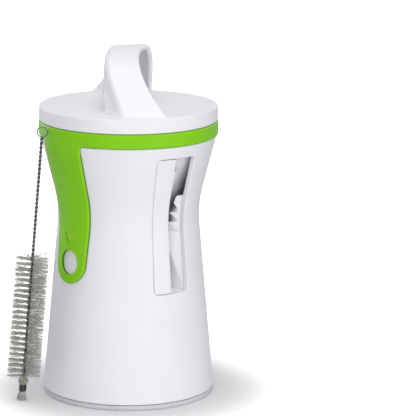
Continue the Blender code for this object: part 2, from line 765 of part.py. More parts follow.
def make_arm():
    """Arm that follows the hourglass: a thin turned jacket, kept only inside the arm's outline."""
    low = SIGHT_HOLE_HEIGHT - 1.3 * ARM_TIP_RADIUS
    high = COLLAR_BOTTOM + ARM_FLARE / 2
    heights = waist_heights(low, COLLAR_BOTTOM - ARM_FLARE, 6) + [COLLAR_BOTTOM, high]
    profile = [(arm_surface(height), height) for height in reversed(heights)]
    profile += [(shell_radius(height) + ARM_INNER_CLEARANCE, height) for height in heights[:-1]]
    profile += [(shell_radius(SHELL_TOP) - SHELL_WALL, high)]
    jacket = turned("arm_jacket", profile)
    # The outline starts at the left fillet, runs down round the tip, and climbs to the right fillet.
    root = COLLAR_BOTTOM - SIGHT_HOLE_HEIGHT
    fillet = ARM_ROOT_FILLET
    corner = ARM_ROOT_HALF_WIDTH + fillet
    left = arc((-corner, root - fillet), fillet, 90.0, 0.0, 5)
    tip = arc((0.0, 0.0), ARM_TIP_RADIUS, 180.0, 360.0, 14)
    right = arc((corner, root - fillet), fillet, 180.0, 90.0, 5)
    top = root + ARM_ROOT_DEPTH
    outline = [(-corner, top), *left, *tip, *right, (corner, top)]
    frame = outward_frame(ARM_AZIMUTH, 0.6 * WAIST_CORNER_RADIUS, SIGHT_HOLE_HEIGHT)
    boolean(jacket, extruded("arm_outline", outline, COLLAR_RADIUS, frame), "INTERSECT")
    cut(jacket, rod("sight_hole", SIGHT_HOLE_RADIUS, COLLAR_RADIUS, frame, facets=MIDDLE_ROUND))
    return jacket


def make_drum():
    flange = shell_inner_radius(FLANGE_BOTTOM) - JOURNAL_CLEARANCE
    floor = DRUM_TIP + DRUM_WALL
    pilot = SCREW_RADIUS + GAP
    profile = [
        (0.0, floor),
        (cone_inner_radius(floor), floor),
        (LINER_RADIUS, CONE_TOP),
        (SOCKET_RADIUS, CONE_TOP),
        (SOCKET_RADIUS, FLANGE_TOP),
        (flange, FLANGE_TOP),
        (flange, FLANGE_BOTTOM),
        (SOCKET_OUTER, FLANGE_BOTTOM),
        (SOCKET_OUTER, CONE_TOP + DRUM_SOCKET_CHAMFER),
        (LINER_RADIUS + DRUM_WALL, CONE_TOP - GAP),
        (DRUM_TIP_INNER_RADIUS + DRUM_WALL, DRUM_TIP),
        (SPIGOT_RADIUS, DRUM_TIP),
        (SPIGOT_RADIUS, SPIGOT_END),
        (pilot, SPIGOT_END),
        (pilot, SPIGOT_END + RETAINER_SCREW_LENGTH + GAP),
        (0.0, SPIGOT_END + RETAINER_SCREW_LENGTH + GAP),
    ]
    drum = turned("drum_cone", profile, "white", closed=False)
    for index in range(len(STATIONS)):
        add_station(drum, index)
    for index, azimuth in enumerate(lug_azimuths()):
        frame = outward_frame(azimuth, LINER_RADIUS, LUG_MIDDLE)
        outline = rectangle(LUG_WIDTH / 2 + GAP, LUG_HEIGHT / 2 + GAP)
        cut(drum, extruded(f"lug_window_{index}", outline, LUG_WINDOW_DEPTH, frame))
    for index in range(len(STATIONS)):
        azimuth = DETENT_AZIMUTH + index * STATION_PITCH
        x, y = on_azimuth(SOCKET_OUTER + 0.4 * DETENT_GROOVE_RADIUS, azimuth)
        place = Matrix.Translation((x, y, LUG_MIDDLE - DETENT_GROOVE_LENGTH / 2))
        cut(drum, rod(f"groove_{index}", DETENT_GROOVE_RADIUS, DETENT_GROOVE_LENGTH, place))
    return drum


def add_station(drum, index):
    """Raised bed for a blade, the slot in front of its edge, and the holes of its screws."""
    length = blade_length()
    tilt = math.tan(math.radians(BLADE_RAKE))
    frame = station_frame(index)
    bed_start = BED_START - BED_MARGIN
    bed_end = BED_START + BLADE_BED
    pad = [
        (bed_start, BED_PAD_THICKNESS),
        (bed_end, -BED_MARGIN),
        (bed_end, tilt * BLADE_BED + BED_MARGIN / 2),
        (bed_start, 2 * BED_PAD_THICKNESS),
    ]
    above = Matrix.Translation((0.0, 0.0, -BED_PAD_THICKNESS))
    join(drum, extruded(f"bed_pad_{index}", pad, length + 2 * BED_PAD_THICKNESS, frame @ above))
    slot_end = bed_end + BED_MARGIN
    slot = [
        (-SLOT_THROAT, -SLOT_INNER_REACH),
        (BED_START, -SLOT_INNER_REACH),
        (BED_START, 0.0),
        (slot_end, tilt * (BLADE_BED + BED_MARGIN)),
        (slot_end, SLOT_OUTER_REACH),
        (-SLOT_THROAT, SLOT_OUTER_REACH),
    ]
    start = Matrix.Translation((0.0, 0.0, -GAP))
    cut(drum, extruded(f"slot_{index}", slot, length + 2 * GAP, frame @ start))
    cut(drum, *clamp_holes(f"bed_hole_{index}", index))


STATIONS = (
    ("fine", FINE_PITCH),
    ("medium", MEDIUM_PITCH),
    ("wide", WIDE_PITCH),
    ("ribbon", None),
)


def clamp_screw_places():
    return CLAMP_SCREW_INSET, blade_length() - CLAMP_SCREW_INSET


def clamp_screw_across():
    return (CLAMP_SETBACK + BED_WIDTH) / 2


def inward(index, height, place):
    """Frame on a clamp screw's axis at a height over the blade's bed, with Z into the drum."""
    at_screw = bed_frame(index) @ Matrix.Translation((clamp_screw_across(), height, place))
    return at_screw @ Matrix.Rotation(math.radians(90.0), 4, "X")


def clamp_holes(name, index):
    """Cutters for a station's two screw holes, which end inside the bed."""
    radius = CLAMP_SCREW_RADIUS + GAP
    holes = []
    for place in clamp_screw_places():
        frame = inward(index, CLAMP_HOLE_START, place)
        holes.append(rod(f"{name}_{place:.3f}", radius, CLAMP_HOLE_LENGTH, frame, facets=HOLE_ROUND))
    return holes


def make_blade(index, name, pitch):
    """Flat blade with a bevelled edge and, where it cuts strands, a comb of standing teeth."""
    frame = bed_frame(index)
    length = blade_length() - 2 * GAP
    bottom = GAP
    top = GAP + BLADE_THICKNESS
    section = [
        (-BLADE_REACH, bottom),
        (BED_WIDTH, bottom),
        (BED_WIDTH, top),
        (BLADE_EDGE_BEVEL - BLADE_REACH, top),
    ]
    blade = extruded(f"blade_{name}", section, length, frame @ Matrix.Translation((0, 0, GAP)), "steel")
    cut(blade, *clamp_holes(f"hole_{name}", index))
    if pitch:
        count = int((length - pitch) / pitch)
        first = (length - (count - 1) * pitch - TOOTH_THICKNESS) / 2
        tooth = [
            (-BLADE_REACH - TOOTH_REACH, bottom - 0.1 * TOOTH_DEPTH),
            (-BLADE_REACH + 0.2 * TOOTH_REACH, bottom - TOOTH_DEPTH),
            (-BLADE_REACH + 1.6 * TOOTH_REACH, bottom + 0.3 * BLADE_THICKNESS),
            (-BLADE_REACH + BLADE_EDGE_BEVEL, top + 0.6 * BLADE_THICKNESS),
        ]
        comb = bmesh.new()
        for step in range(count):
            start = GAP + first + step * pitch
            add_tooth(comb, tooth, start, start + TOOTH_THICKNESS, frame)
        join(blade, add_object(f"comb_{name}", mesh_from(comb, f"comb_{name}")))
    return blade


def add_tooth(comb, outline, start, end, frame):
    rows = [[comb.verts.new(frame @ Vector((x, y, z))) for x, y in outline] for z in (start, end)]
    count = len(outline)
    for index in range(count):
        after = (index + 1) % count
        comb.faces.new((rows[0][index], rows[0][after], rows[1][after], rows[1][index]))
    comb.faces.new(rows[0])
    comb.faces.new(rows[1])


def make_clamp(index, name):
    """Bar over the back of a blade, with a rounded back and two screw holes."""
    frame = bed_frame(index)
    bottom = 2 * GAP + BLADE_THICKNESS
    top = bottom + CLAMP_THICKNESS
    section = [
        (CLAMP_SETBACK, bottom),
        (BED_WIDTH, bottom),
        (BED_WIDTH, top - CLAMP_BACK_CHAMFER),
        (BED_WIDTH - CLAMP_BACK_CHAMFER, top),
        (CLAMP_SETBACK + CLAMP_FRONT_SLOPE, top),
    ]
    length = blade_length() - 2 * GAP
    clamp = extruded(f"blade_clamp_{name}", section, length, frame @ Matrix.Translation((0, 0, GAP)), "white")
    return cut(clamp, *clamp_holes(f"clamp_hole_{name}", index))


def make_clamp_screws():
    head = 3 * GAP + BLADE_THICKNESS + CLAMP_THICKNESS
    length = head + CLAMP_SCREW_BITE
    sizes = (CLAMP_SCREW_RADIUS, CLAMP_SCREW_HEAD_RADIUS, CLAMP_SCREW_HEAD_HEIGHT)
    for index, (name, _) in enumerate(STATIONS):
        for end, place in zip(("top", "tip"), clamp_screw_places()):
            screw_at(f"clamp_screw_{name}_{end}", inward(index, head, place), length, sizes)


def make_retainer():
    top = SPIGOT_END - GAP
    profile = [
        (SCREW_RADIUS + GAP, top),
        (WASHER_RADIUS, top),
        (WASHER_RADIUS, top - WASHER_THICKNESS),
        (SCREW_RADIUS + GAP, top - WASHER_THICKNESS),
    ]
    turned("retainer_washer", profile, "steel", facets=MIDDLE_ROUND)
    under = top - WASHER_THICKNESS - GAP
    length = RETAINER_SCREW_LENGTH + 2 * GAP + WASHER_THICKNESS
    screw_at("retainer_screw", Matrix.Translation((0.0, 0.0, under)), length)


# Cap and handle


def make_guide_ring():
    inner = GUIDE_RADIUS - GUIDE_WALL
    lip = inner - GUIDE_LIP
    lip_bottom = GUIDE_LIP_TOP - GUIDE_LIP_THICKNESS
    profile = [
        (inner, GUIDE_TOP),
        (GUIDE_RADIUS, GUIDE_TOP),
        (GUIDE_RADIUS, GUIDE_BOTTOM + GUIDE_CHAMFER),
        (GUIDE_RADIUS - GUIDE_CHAMFER, GUIDE_BOTTOM),
        (inner, GUIDE_BOTTOM),
        (inner, lip_bottom),
        (lip, lip_bottom),
        (lip, GUIDE_LIP_TOP),
        (inner, GUIDE_LIP_TOP),
    ]
    return turned("cap_guide_ring", profile, "white")


def dome_height(radius):
    """Height of the cap's top surface at a radius."""
    return CAP_RIM + CAP_DOME * (1.0 - (radius / CAP_RADIUS) ** 2)


def make_cap():
    edge = CAP_EDGE_ROUND
    bore = GUIDE_RADIUS + GAP
    top_radii = [0.0, 0.55 * CAP_RADIUS, CAP_RADIUS - 2 * edge]
    profile = [(radius, dome_height(radius)) for radius in top_radii]
    profile += [
        (CAP_RADIUS - 0.4 * edge, CAP_RIM - 0.4 * edge),
        (CAP_RADIUS, CAP_RIM - 1.6 * edge),
        (CAP_RADIUS, CAP_BOTTOM + CAP_FOOT_CHAMFER),
        (CAP_RADIUS - CAP_FOOT_CHAMFER, CAP_BOTTOM),
        (bore, CAP_BOTTOM),
        (bore, CAP_CEILING),
        (0.0, CAP_CEILING),
    ]
    cap = turned("holder_cap", profile, "white", closed=False)
    bottom = SPIKE_PLATE_TOP + GAP
    for index, (x, y) in enumerate(cap_boss_places()):
        boss_frame = Matrix.Translation((x, y, bottom))
        join(cap, rod(f"cap_boss_{index}", CAP_BOSS_RADIUS, CAP_CEILING + ROOTING - bottom, boss_frame))
        pilot_frame = Matrix.Translation((x, y, bottom - GAP))
        cut(cap, rod(f"cap_pilot_{index}", SCREW_RADIUS + GAP, CAP_SCREW_LENGTH, pilot_frame))
    return join(cap, make_handle())


def cap_boss_places():
    turns = [CAP_BOSS_AZIMUTH + index * 360.0 / CAP_BOSS_COUNT for index in range(CAP_BOSS_COUNT)]
    return [on_azimuth(CAP_BOSS_CIRCLE, turn) for turn in turns]


def guide_point(controls, foot_inset, foot_azimuth, along):
    """Point at a share of the way down a guide curve of the handle, whose foot is sunk into the cap."""
    start, after_start, before_end = [Vector(point) for point in controls]
    foot_radius = CAP_RADIUS - foot_inset
    foot_height = dome_height(foot_radius) - HANDLE_SINK - CAP_RIM
    foot = Vector((*on_azimuth(foot_radius, foot_azimuth), foot_height))
    back = 1.0 - along
    point = back**3 * start + 3 * back**2 * along * after_start
    point += 3 * back * along**2 * before_end + along**3 * foot
    return point + Vector((0.0, 0.0, CAP_RIM))


def handle_point(across, along):
    """Point of the ribbon's middle surface: across from its free edge, along from its crest to a foot."""
    crease = guide_point(HANDLE_CREASE, CREASE_FOOT_INSET, CREASE_FOOT_AZIMUTH, along)
    if across < HANDLE_CREASE_SHARE:
        free = guide_point(HANDLE_FREE_EDGE, FREE_FOOT_INSET, FREE_FOOT_AZIMUTH, along)
        return free.lerp(crease, across / HANDLE_CREASE_SHARE)
    right = guide_point(HANDLE_RIGHT_EDGE, RIGHT_FOOT_INSET, RIGHT_FOOT_AZIMUTH, along)
    return crease.lerp(right, (across - HANDLE_CREASE_SHARE) / (1.0 - HANDLE_CREASE_SHARE))


def make_handle():
    """Twisted ribbon loop. Its back half is its front half turned by half a turn about the cap's axis."""
    shares = [0.0, 0.5 * HANDLE_CREASE_SHARE, HANDLE_CREASE_SHARE, 0.5]
    shares += [1.0 - share for share in reversed(shares[:-1])]
    steps = 12
    half_turn = Matrix.Rotation(math.pi, 3, "Z")
    front = [[handle_point(share, step / steps) for share in shares] for step in range(steps + 1)]
    back = [[half_turn @ point for point in reversed(row)] for row in front[1:]]
    rows = [*reversed(back), *front]
    bm = bmesh.new()
    grid = [[bm.verts.new(point) for point in row] for row in rows]
    for low, high in zip(grid, grid[1:]):
        for index in range(len(shares) - 1):
            bm.faces.new((low[index], low[index + 1], high[index + 1], high[index]))
    ribbon = add_object("handle_ribbon", mesh_from(bm, "handle_ribbon"))
    wall = ribbon.modifiers.new("thickness", "SOLIDIFY")
    wall.thickness = HANDLE_THICKNESS
    wall.offset = 0.0
    wall.use_even_offset = True
    return ribbon


def make_spike_plate():
    radius = GUIDE_RADIUS - GUIDE_WALL - JOURNAL_CLEARANCE
    profile = [
        (0.0, SPIKE_PLATE_TOP),
        (radius, SPIKE_PLATE_TOP),
        (radius, SPIKE_PLATE_BOTTOM + SPIKE_PLATE_CHAMFER),
        (radius - SPIKE_PLATE_CHAMFER, SPIKE_PLATE_BOTTOM),
        (0.0, SPIKE_PLATE_BOTTOM),
    ]
    plate = turned("spike_plate", profile, "white", closed=False)
    under = SPIKE_PLATE_BOTTOM - GAP
    for number, (x, y) in enumerate(pin_places()):
        depth = PIN_SOCKET_SHARE * SPIKE_PLATE_THICKNESS
        frame = Matrix.Translation((x, y, under))
        cut(plate, rod(f"pin_hole_{number}", PIN_RADIUS + GAP, depth, frame, facets=HOLE_ROUND))
    for index, (x, y) in enumerate(cap_boss_places()):
        frame = Matrix.Translation((x, y, under))
        through = 3 * SPIKE_PLATE_THICKNESS
        cut(plate, rod(f"spike_plate_hole_{index}", SCREW_RADIUS + GAP, through, frame))
    return plate


def pin_places():
    turns = [PIN_AZIMUTH + index * 360.0 / PIN_COUNT for index in range(PIN_COUNT)]
    return [(0.0, 0.0), *[on_azimuth(PIN_CIRCLE, turn) for turn in turns]]


def make_pins():
    top = SPIKE_PLATE_BOTTOM + PIN_SOCKET_SHARE * SPIKE_PLATE_THICKNESS - 2 * GAP
    profile = [(PIN_RADIUS, 0.0), (PIN_RADIUS, 0.7 * PIN_LENGTH), (0.1 * PIN_RADIUS, PIN_LENGTH)]
    for number, (x, y) in enumerate(pin_places()):
        frame = Matrix.Translation((x, y, top)) @ Matrix.Rotation(math.pi, 4, "X")
        rings = [ring_at(frame, radius, down, HOLE_ROUND) for radius, down in profile]
        smooth(lofted(f"holding_pin_{number}", rings, "steel"))


def make_cap_screws():
    for index, (x, y) in enumerate(cap_boss_places()):
        frame = Matrix.Translation((x, y, SPIKE_PLATE_BOTTOM - GAP))
        screw_at(f"cap_screw_{index + 1}", frame, SPIKE_PLATE_THICKNESS + CAP_SCREW_LENGTH - GAP)


# Brush


def brush_frame():
    """The brush stands on the floor and leans towards the collar, which its loop's side touches."""
    loop_side = LOOP_RADIUS + LOOP_WIRE_RADIUS
    touch = COLLAR_RADIUS + GAP
    top_x = -(math.sqrt(touch**2 - BRUSH_FRONT**2) + loop_side)
    lean = math.radians(BRUSH_LEAN)
    foot_x = top_x - LOOP_HEIGHT * math.sin(lean)
    return Matrix.Translation((foot_x, BRUSH_FRONT, BRUSH_LIFT)) @ Matrix.Rotation(lean, 4, "Y")


def make_brush():
    holder = bpy.data.objects.new("brush_axis", None)
    PARTS.objects.link(holder)
    holder.matrix_world = brush_frame()
    ferrule_top = TUFT_LENGTH + BAND_LENGTH + BULB_LENGTH
    make_tuft().parent = holder
    make_ferrule(ferrule_top).parent = holder
    make_bristles(ferrule_top).parent = holder
    make_stem(ferrule_top, holder).parent = holder


def make_tuft():
    top = TUFT_LENGTH - GAP
    profile = [
        (0.0, top),
        (0.8 * BAND_RADIUS, top),
        (0.9 * TUFT_RADIUS, 0.55 * TUFT_LENGTH),
        (TUFT_RADIUS, 0.15 * TUFT_LENGTH),
        (0.8 * TUFT_RADIUS, 0.0),
        (0.0, 0.0),
    ]
    return turned("brush_tail_tuft", profile, "tuft", facets=SMALL_ROUND, closed=False)


def make_ferrule(top):
    profile = [
        (0.0, top - GAP),
        (0.5 * BULB_RADIUS, top - GAP),
        (BULB_RADIUS, top - 0.35 * BULB_LENGTH),
        (BULB_RADIUS, top - 0.65 * BULB_LENGTH),
        (BAND_RADIUS, top - BULB_LENGTH),
        (BAND_RADIUS, TUFT_LENGTH),
        (0.0, TUFT_LENGTH),
    ]
    return turned("brush_ferrule", profile, "steel", facets=SMALL_ROUND, closed=False)


def make_stem(ferrule_top, holder):
    bottom = ferrule_top + BRISTLE_LENGTH + GAP
    length = LOOP_HEIGHT - LOOP_RADIUS - bottom
    frame = Matrix.Translation((0.0, 0.0, bottom))
    stem = rod("brush_stem", STEM_RADIUS, length, frame, "steel", facets=HOLE_ROUND)
    return join(stem, make_loop(holder))


def make_loop(holder):
    """Ring of wire that faces the front, at the stem's upper end."""
    bpy.ops.mesh.primitive_torus_add(
        major_radius=LOOP_RADIUS,
        minor_radius=LOOP_WIRE_RADIUS,
        major_segments=16,
        minor_segments=6,
        location=(0.0, 0.0, LOOP_HEIGHT),
        rotation=(math.radians(90.0), 0.0, 0.0),
    )
    loop = bpy.context.active_object
    loop.name = "brush_loop"
    loop.parent = holder
    return loop


def make_bristles(bottom):
    """Slice of the twisted wire from which every other facet is drawn out into a bristle."""
    shake = random.Random(7)
    bm = bmesh.new()
    sides = BRISTLES_IN_RING
    pitch = BRISTLE_LENGTH / BRISTLE_RINGS
    rows = []
    for ring in range(BRISTLE_RINGS + 1):
        twist = Matrix.Rotation(math.radians(BRISTLE_TWIST * ring), 4, "Z")
        height = bottom + pitch * ring
        rows.append([bm.verts.new(point) for point in ring_at(twist, STEM_RADIUS, height, sides)])
    for low, high in zip(rows, rows[1:]):
        for side in range(sides):
            after = (side + 1) % sides
            bm.faces.new((low[after], high[after], high[side]))
            add_bristle(bm, (low[side], low[after], high[side]), shake)
    bm.faces.new(rows[0])
    bm.faces.new(rows[-1])
    return add_object("brush_bristles", mesh_from(bm, "brush_bristles"), "bristle")


def add_bristle(bm, root, shake):
    """Three-sided strand that stands on a facet of the wire."""
    centre = sum((vertex.co for vertex in root), Vector()) / 3
    out = Vector((centre.x, centre.y, 0.0)).normalized()
    reach = BRISTLE_RADIUS * shake.uniform(0.95, 1.0)
    tip = Vector((0.0, 0.0, centre.z)) + out * reach
    ends = []
    for vertex in root:
        away = vertex.co - centre
        away -= out * away.dot(out)
        ends.append(bm.verts.new(tip + away.normalized() * BRISTLE_TIP))
    for index in range(3):
        after = (index + 1) % 3
        bm.faces.new((root[index], root[after], ends[after], ends[index]))
    bm.faces.new(ends)


def main():
    make_pad()
    make_shell()
    make_outlet_guard()
    make_base_plate()
    make_base_screws()
    make_pivot_bush()
    make_detent_spring()
    make_collar()
    make_drum()
    for index, (name, pitch) in enumerate(STATIONS):
        make_blade(index, name, pitch)
        make_clamp(index, name)
    make_clamp_screws()
    make_retainer()
    make_guide_ring()
    make_cap()
    make_spike_plate()
    make_pins()
    make_cap_screws()
    make_brush()


main()
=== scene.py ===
"""Spiral vegetable grater: its finished surfaces, materials, floor, lamps and camera.

Units are metres and +Z is up. An azimuth is in degrees round +Z from the front (-Y), towards +X.
"""

import json
import math
import random

import bmesh
import bpy
from mathutils import Matrix, Vector
from mathutils.geometry import delaunay_2d_cdt


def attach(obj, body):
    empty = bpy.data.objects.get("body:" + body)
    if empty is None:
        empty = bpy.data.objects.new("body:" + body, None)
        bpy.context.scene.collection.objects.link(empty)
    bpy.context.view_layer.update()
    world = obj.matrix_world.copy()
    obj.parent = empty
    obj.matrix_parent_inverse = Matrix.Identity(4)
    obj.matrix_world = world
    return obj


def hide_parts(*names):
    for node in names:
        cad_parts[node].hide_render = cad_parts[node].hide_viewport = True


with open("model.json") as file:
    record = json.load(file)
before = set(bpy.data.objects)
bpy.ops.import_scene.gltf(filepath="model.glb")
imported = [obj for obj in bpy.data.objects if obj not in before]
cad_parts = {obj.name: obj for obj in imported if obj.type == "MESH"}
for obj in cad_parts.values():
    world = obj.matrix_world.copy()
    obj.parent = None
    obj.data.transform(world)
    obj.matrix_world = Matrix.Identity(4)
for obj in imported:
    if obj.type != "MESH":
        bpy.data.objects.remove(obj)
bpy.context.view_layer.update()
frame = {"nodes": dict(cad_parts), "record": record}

# Steps in round shapes
FACETS = 180
FACET_ANGLE = 360.0 / FACETS
ROUNDING_STEPS = 4
RIM_STEPS = 5
CORNER_STEPS = 6
FILLET_STEPS = 8
CIRCLE_STEPS = 48
LIP_STEP_ANGLE = 30

# Distance between a surface's points: along its border, on its face, and on its hidden side
BORDER_SPACING = 0.0020
FACE_SPACING = 0.0025
BACK_SPACING = 0.0035
STRIP_BACK_SPACING = 0.0040
ARM_BORDER_SPACING = 0.0015
ARM_FACE_SPACING = 0.0020
MARK_BORDER_SPACING = 0.0008
MARK_FACE_SPACING = 0.0015
# Inner points come no closer to the border than this share of the spacing
BORDER_MARGIN = 0.55

# Distance over which slopes are measured
NUDGE = 0.00001
# Turns of a profile, in radians: under the first it counts as straight, over the second its corner is sharp
STRAIGHT_TURN = 0.01
SHARP_TURN = 0.3
# Twice the area under which a triangle has no width, and the triangulation's scale and tolerance
SLIVER = 1e-9
MILLIMETRES = 1000.0
TOLERANCE = 0.00001

# Shell and pad
SHELL_WALL = 0.0025
SHELL_BASE_RADIUS = 0.0480
SHELL_TOP_RADIUS = 0.0490
SHELL_BOTTOM = 0.0032
SHELL_TOP = 0.1467
SHELL_LIP = 0.0006
WAIST_HEIGHT = 0.107
WAIST_CORNER_RADIUS = 0.0388
WAIST_BLEND = 0.011
# Radius, height and rounding of the corners of the pad's profile
PAD_CORNERS = (
    (0.0, 0.0029),
    (0.0478, 0.0029, 0.0003),
    (0.0476, 0.0010, 0.0006),
    (0.0469, 0.0, 0.0004),
    (0.0, 0.0),
)

# Window, and the face of the insert in its left part
WINDOW_BOTTOM = 0.0635
WINDOW_TOP = 0.1400
WINDOW_LEFT = 19.3
WINDOW_RIGHT = 50.5
WINDOW_CORNER = 0.0022
WINDOW_EDGE = 0.0005
STRIP_RIGHT = 33.7
STRIP_THICKNESS = 0.0024
STRIP_EDGE = 0.0004
STRIP_COVER = 0.0002
PARTING_GAP = 0.0003

# Collar, with the liner that goes down into the shell
COLLAR_RADIUS = 0.0500
COLLAR_BOTTOM = 0.1470
COLLAR_TOP = 0.1550
COLLAR_WALL = 0.0020
COLLAR_EDGE = 0.0012
LEDGE_DEPTH = 0.0030
LEDGE_RADIUS = 0.0455
LINER_RADIUS = 0.0395
LINER_OUTER = 0.0411
LINER_TOP = 0.1475
LINER_END = 0.1393
UNDERSIDE_BORE = 0.0412
UNDERSIDE_SETBACK = 0.0022

# Arm with its sight hole and its mark. Below a set depth each wall takes a darker lime, a painted shade for
# the gap under the arm, the hole and the mark.
ARM_AZIMUTH = -50.2
ARM_HALF_WIDTH = 0.0149
ARM_TIP_RADIUS = 0.0118
ARM_FILLET = 0.0030
ARM_PROUD = 0.0020
ARM_CLEARANCE = 0.0004
ARM_EASE = 0.0010
ARM_EDGE = 0.0010
ARM_WALL = 0.0020
ARM_SHADE_DEPTH = 0.0008
HOLE_HEIGHT = 0.0796
HOLE_RADIUS = 0.0068
HOLE_EDGE = 0.0004
HOLE_SHADE_DEPTH = 0.0005
MARK_CORNERS = ((-0.0051, 0.0960), (0.0037, 0.0960), (-0.0007, 0.0900))
MARK_DEPTH = 0.0005
MARK_EDGE = 0.00015
MARK_SHADE_DEPTH = 0.00018
# The collar's wall is one surface with the arm over this angle to each side
PATCH_REACH = 30.0
PATCH_SIDE = COLLAR_RADIUS * math.sin(math.radians(PATCH_REACH))

# Cap
CAP_RADIUS = 0.0497
CAP_BOTTOM = 0.1553
CAP_RIM = 0.1633
CAP_DOME = 0.0012
CAP_EDGE = 0.0009
CAP_BORE = 0.0475
CAP_CEILING = 0.1605
DOME_STEPS = 24

# Guide ring
GUIDE_RADIUS = 0.0472
GUIDE_BORE = 0.0448
GUIDE_TOP = 0.1602
GUIDE_BOTTOM = 0.1523
GUIDE_LIP_RADIUS = 0.0426
GUIDE_LIP_TOP = 0.1585
GUIDE_LIP_BOTTOM = 0.1571

# Ribbon handle: its front half follows three guide curves down from the crest. Their heights are over the
# cap's rim, and the last point of each is its foot, which is set on the dome.
HANDLE_CREST = 0.0317
HANDLE_HALF_THICKNESS = 0.0013
HANDLE_SINK = 0.0012
FREE_EDGE = (
    (-0.0088, 0.0, HANDLE_CREST),
    (-0.0137, -0.0115, HANDLE_CREST),
    (-0.0126, -0.0213, 0.0111),
    (-0.0124, -0.0255, 0.0),
)
CREASE = (
    (-0.0044, 0.0, HANDLE_CREST),
    (-0.0190, -0.0345, HANDLE_CREST),
    (-0.0057, -0.0341, 0.0118),
    (-0.0029, -0.0468, 0.0),
)
RIGHT_EDGE = (
    (0.0088, 0.0, HANDLE_CREST),
    (0.0001, -0.0205, HANDLE_CREST),
    (0.0089, -0.0409, 0.0122),
    (0.0215, -0.0415, 0.0),
)
CREASE_SHARE = 0.25
CREASE_EASE = 0.05
RIBBON_MARGIN = 0.02
RIBBON_STEPS = 48
RIBBON_EDGE_STEPS = 6
RIBBON_EDGE_BULGE = 0.6
RIBBON_NUDGE = 0.004
LEG_ROWS = 45
FOOT_ROWS = 30
FOOT_SHARE = 0.10
FOOT_FILLET = 0.0014
HALF_TURN = Matrix.Rotation(math.pi, 3, "Z")

# Brush, in its own frame: +Z runs from the tuft up the wire
BRUSH_FRONT = -0.0243
BRUSH_LEAN = 4.65
BRUSH_LIFT = 0.00035
BRUSH_GAP = 0.0003
LOOP_RADIUS = 0.0028
LOOP_WIRE_RADIUS = 0.00035
LOOP_HEIGHT = 0.1522
LOOP_OVERLAP = 0.0002
LOOP_SIDES = 10
STEM_RADIUS = 0.0009
WIRE_RADIUS = 0.0005
WIRE_PITCH = 0.0048
WIRE_SIDES = 8
TUFT_LENGTH = 0.0048
TUFT_RADIUS = 0.0030
TUFT_INSET = 0.0001
TUFT_ROOT_SHARE = 0.75
TUFT_UNEVENNESS = 0.0006
TUFT_FIBRES = 320
TUFT_STEPS = 4
BAND_LENGTH = 0.0040
BAND_RADIUS = 0.0021
BAND_CORE_INSET = 0.0004
BAND_CORE_FACETS = 24
WRAP_RADIUS = 0.00035
WRAP_PITCH = 0.00066
WRAP_MARGIN = 0.0003
WRAP_TURN_STEPS = 24
BULB_LENGTH = 0.0046
BULB_RADIUS = 0.0034
BULB_FILL = 0.82
BULB_TWIST = 0.35
BULB_SWELL_START = 0.2
BULB_SWELL_SPAN = 0.72
BULB_FIBRES = 260
BULB_STEPS = 6
FIBRE_RADIUS = 0.00013
FIBRE_CURVE = 0.7
BAND_TOP = TUFT_LENGTH + BAND_LENGTH
BULB_TOP = BAND_TOP + BULB_LENGTH
# A direction that no strand runs along
ODD_WAY = Vector((0.31, 0.87, 0.38))

# Bristles. Jitter, scatter and bend are standard deviations, the jitter in radians.
BRISTLE_LENGTH = 0.0690
BRISTLE_RADIUS = 0.0102
BRISTLE_PITCH = 0.0061
STRANDS_PER_METRE = 72000
STRAND_RADII = (0.00007, 0.00008, 0.00009)
STRAND_ROOT_SHARE = 0.6
STRAND_REACH = (0.885, 0.929)
STRAND_THINNING = 0.6
STRAND_JITTER = 0.36
STRAND_SCATTER = 0.00025
STRAND_TIP_SCATTER = 0.0005
STRAND_BEND = 0.0001
SPLAY_START = 0.975
SPLAY = (0.0010, 0.0050)
FILAMENT_SEED = 11
FOOT_SEED = 5

# Inner parts
SOFT_EDGE = 0.0002
WASHER_EDGE = 0.0001
WELD_DISTANCE = 0.000001
SHARP_ANGLE = 32.0
BEVEL_ANGLE = 50.0

# Materials: the noise's usual range, and its scales
NOISE_LOW = 0.3
NOISE_HIGH = 0.7
CLOUD_SCALE = 35.0
GLOSS_SCALE = 240.0
PEEL_SCALE = 700.0
LINE_SCALE = 300.0
STRAND_SCALE = 800.0
PEEL_STRENGTH = 0.03
PEEL_HEIGHT = 0.00004
LINE_STRENGTH = 0.12
LINE_HEIGHT = 0.0001
COAT_ROUGHNESS = 0.08

# Floor, which glows only faintly to the camera near the axis, as a painted shadow round the object, and turns
# white between two distances from the axis, and world
FLOOR_SIZE = 6.0
FLOOR_COLOUR = (0.70, 0.70, 0.71, 1.0)
FLOOR_ROUGHNESS = 0.6
SHADOW_POOL_START = 0.050
SHADOW_POOL_END = 0.125
SHADOW_POOL_GLOW = 0.08
GLOW_FAR = 1.1
PURE_WHITE = (1.0, 1.0, 1.0, 1.0)
WORLD_STRENGTH = 0.34
WORLD_TINT = (0.95, 0.96, 1.0, 1.0)
# Places of the colour sockets on a Mix node
MIX_FIRST = 6
MIX_SECOND = 7
MIX_RESULT = 2

# Lamps: name, azimuth, height, size, power, colour, and whether gloss shows it.
# The front lamp's reflection would wash out the cap's top in a view from behind.
LAMPS = (
    ("front", -4.0, 0.45, 0.8, 6.1, (1.0, 0.99, 0.985), False),
    ("right", 42.0, 0.45, 0.8, 3.8, (1.0, 0.99, 0.985), True),
    ("back_left", -130.0, 0.35, 0.7, 3.2, (0.90, 0.93, 1.0), True),
)
LAMP_DISTANCE = 1.25
LAMP_TARGET = (0.0, 0.0, 0.08)
# Name, place, target, size, power and colour
OVERHEAD_LAMP = ("overhead", (0.05, -0.10, 1.30), (0.0, 0.0, 0.10), 0.9, 5.2, (1.0, 1.0, 1.0))

# Camera, with its pitch down, its yaw to the right and its roll
CAMERA_PLACE = (0.0, -1.4986, 0.426)
CAMERA_SENSOR = 36.0
CAMERA_LENS = 236.94
CAMERA_ANGLES = (12.11, 1.70, 0.385)


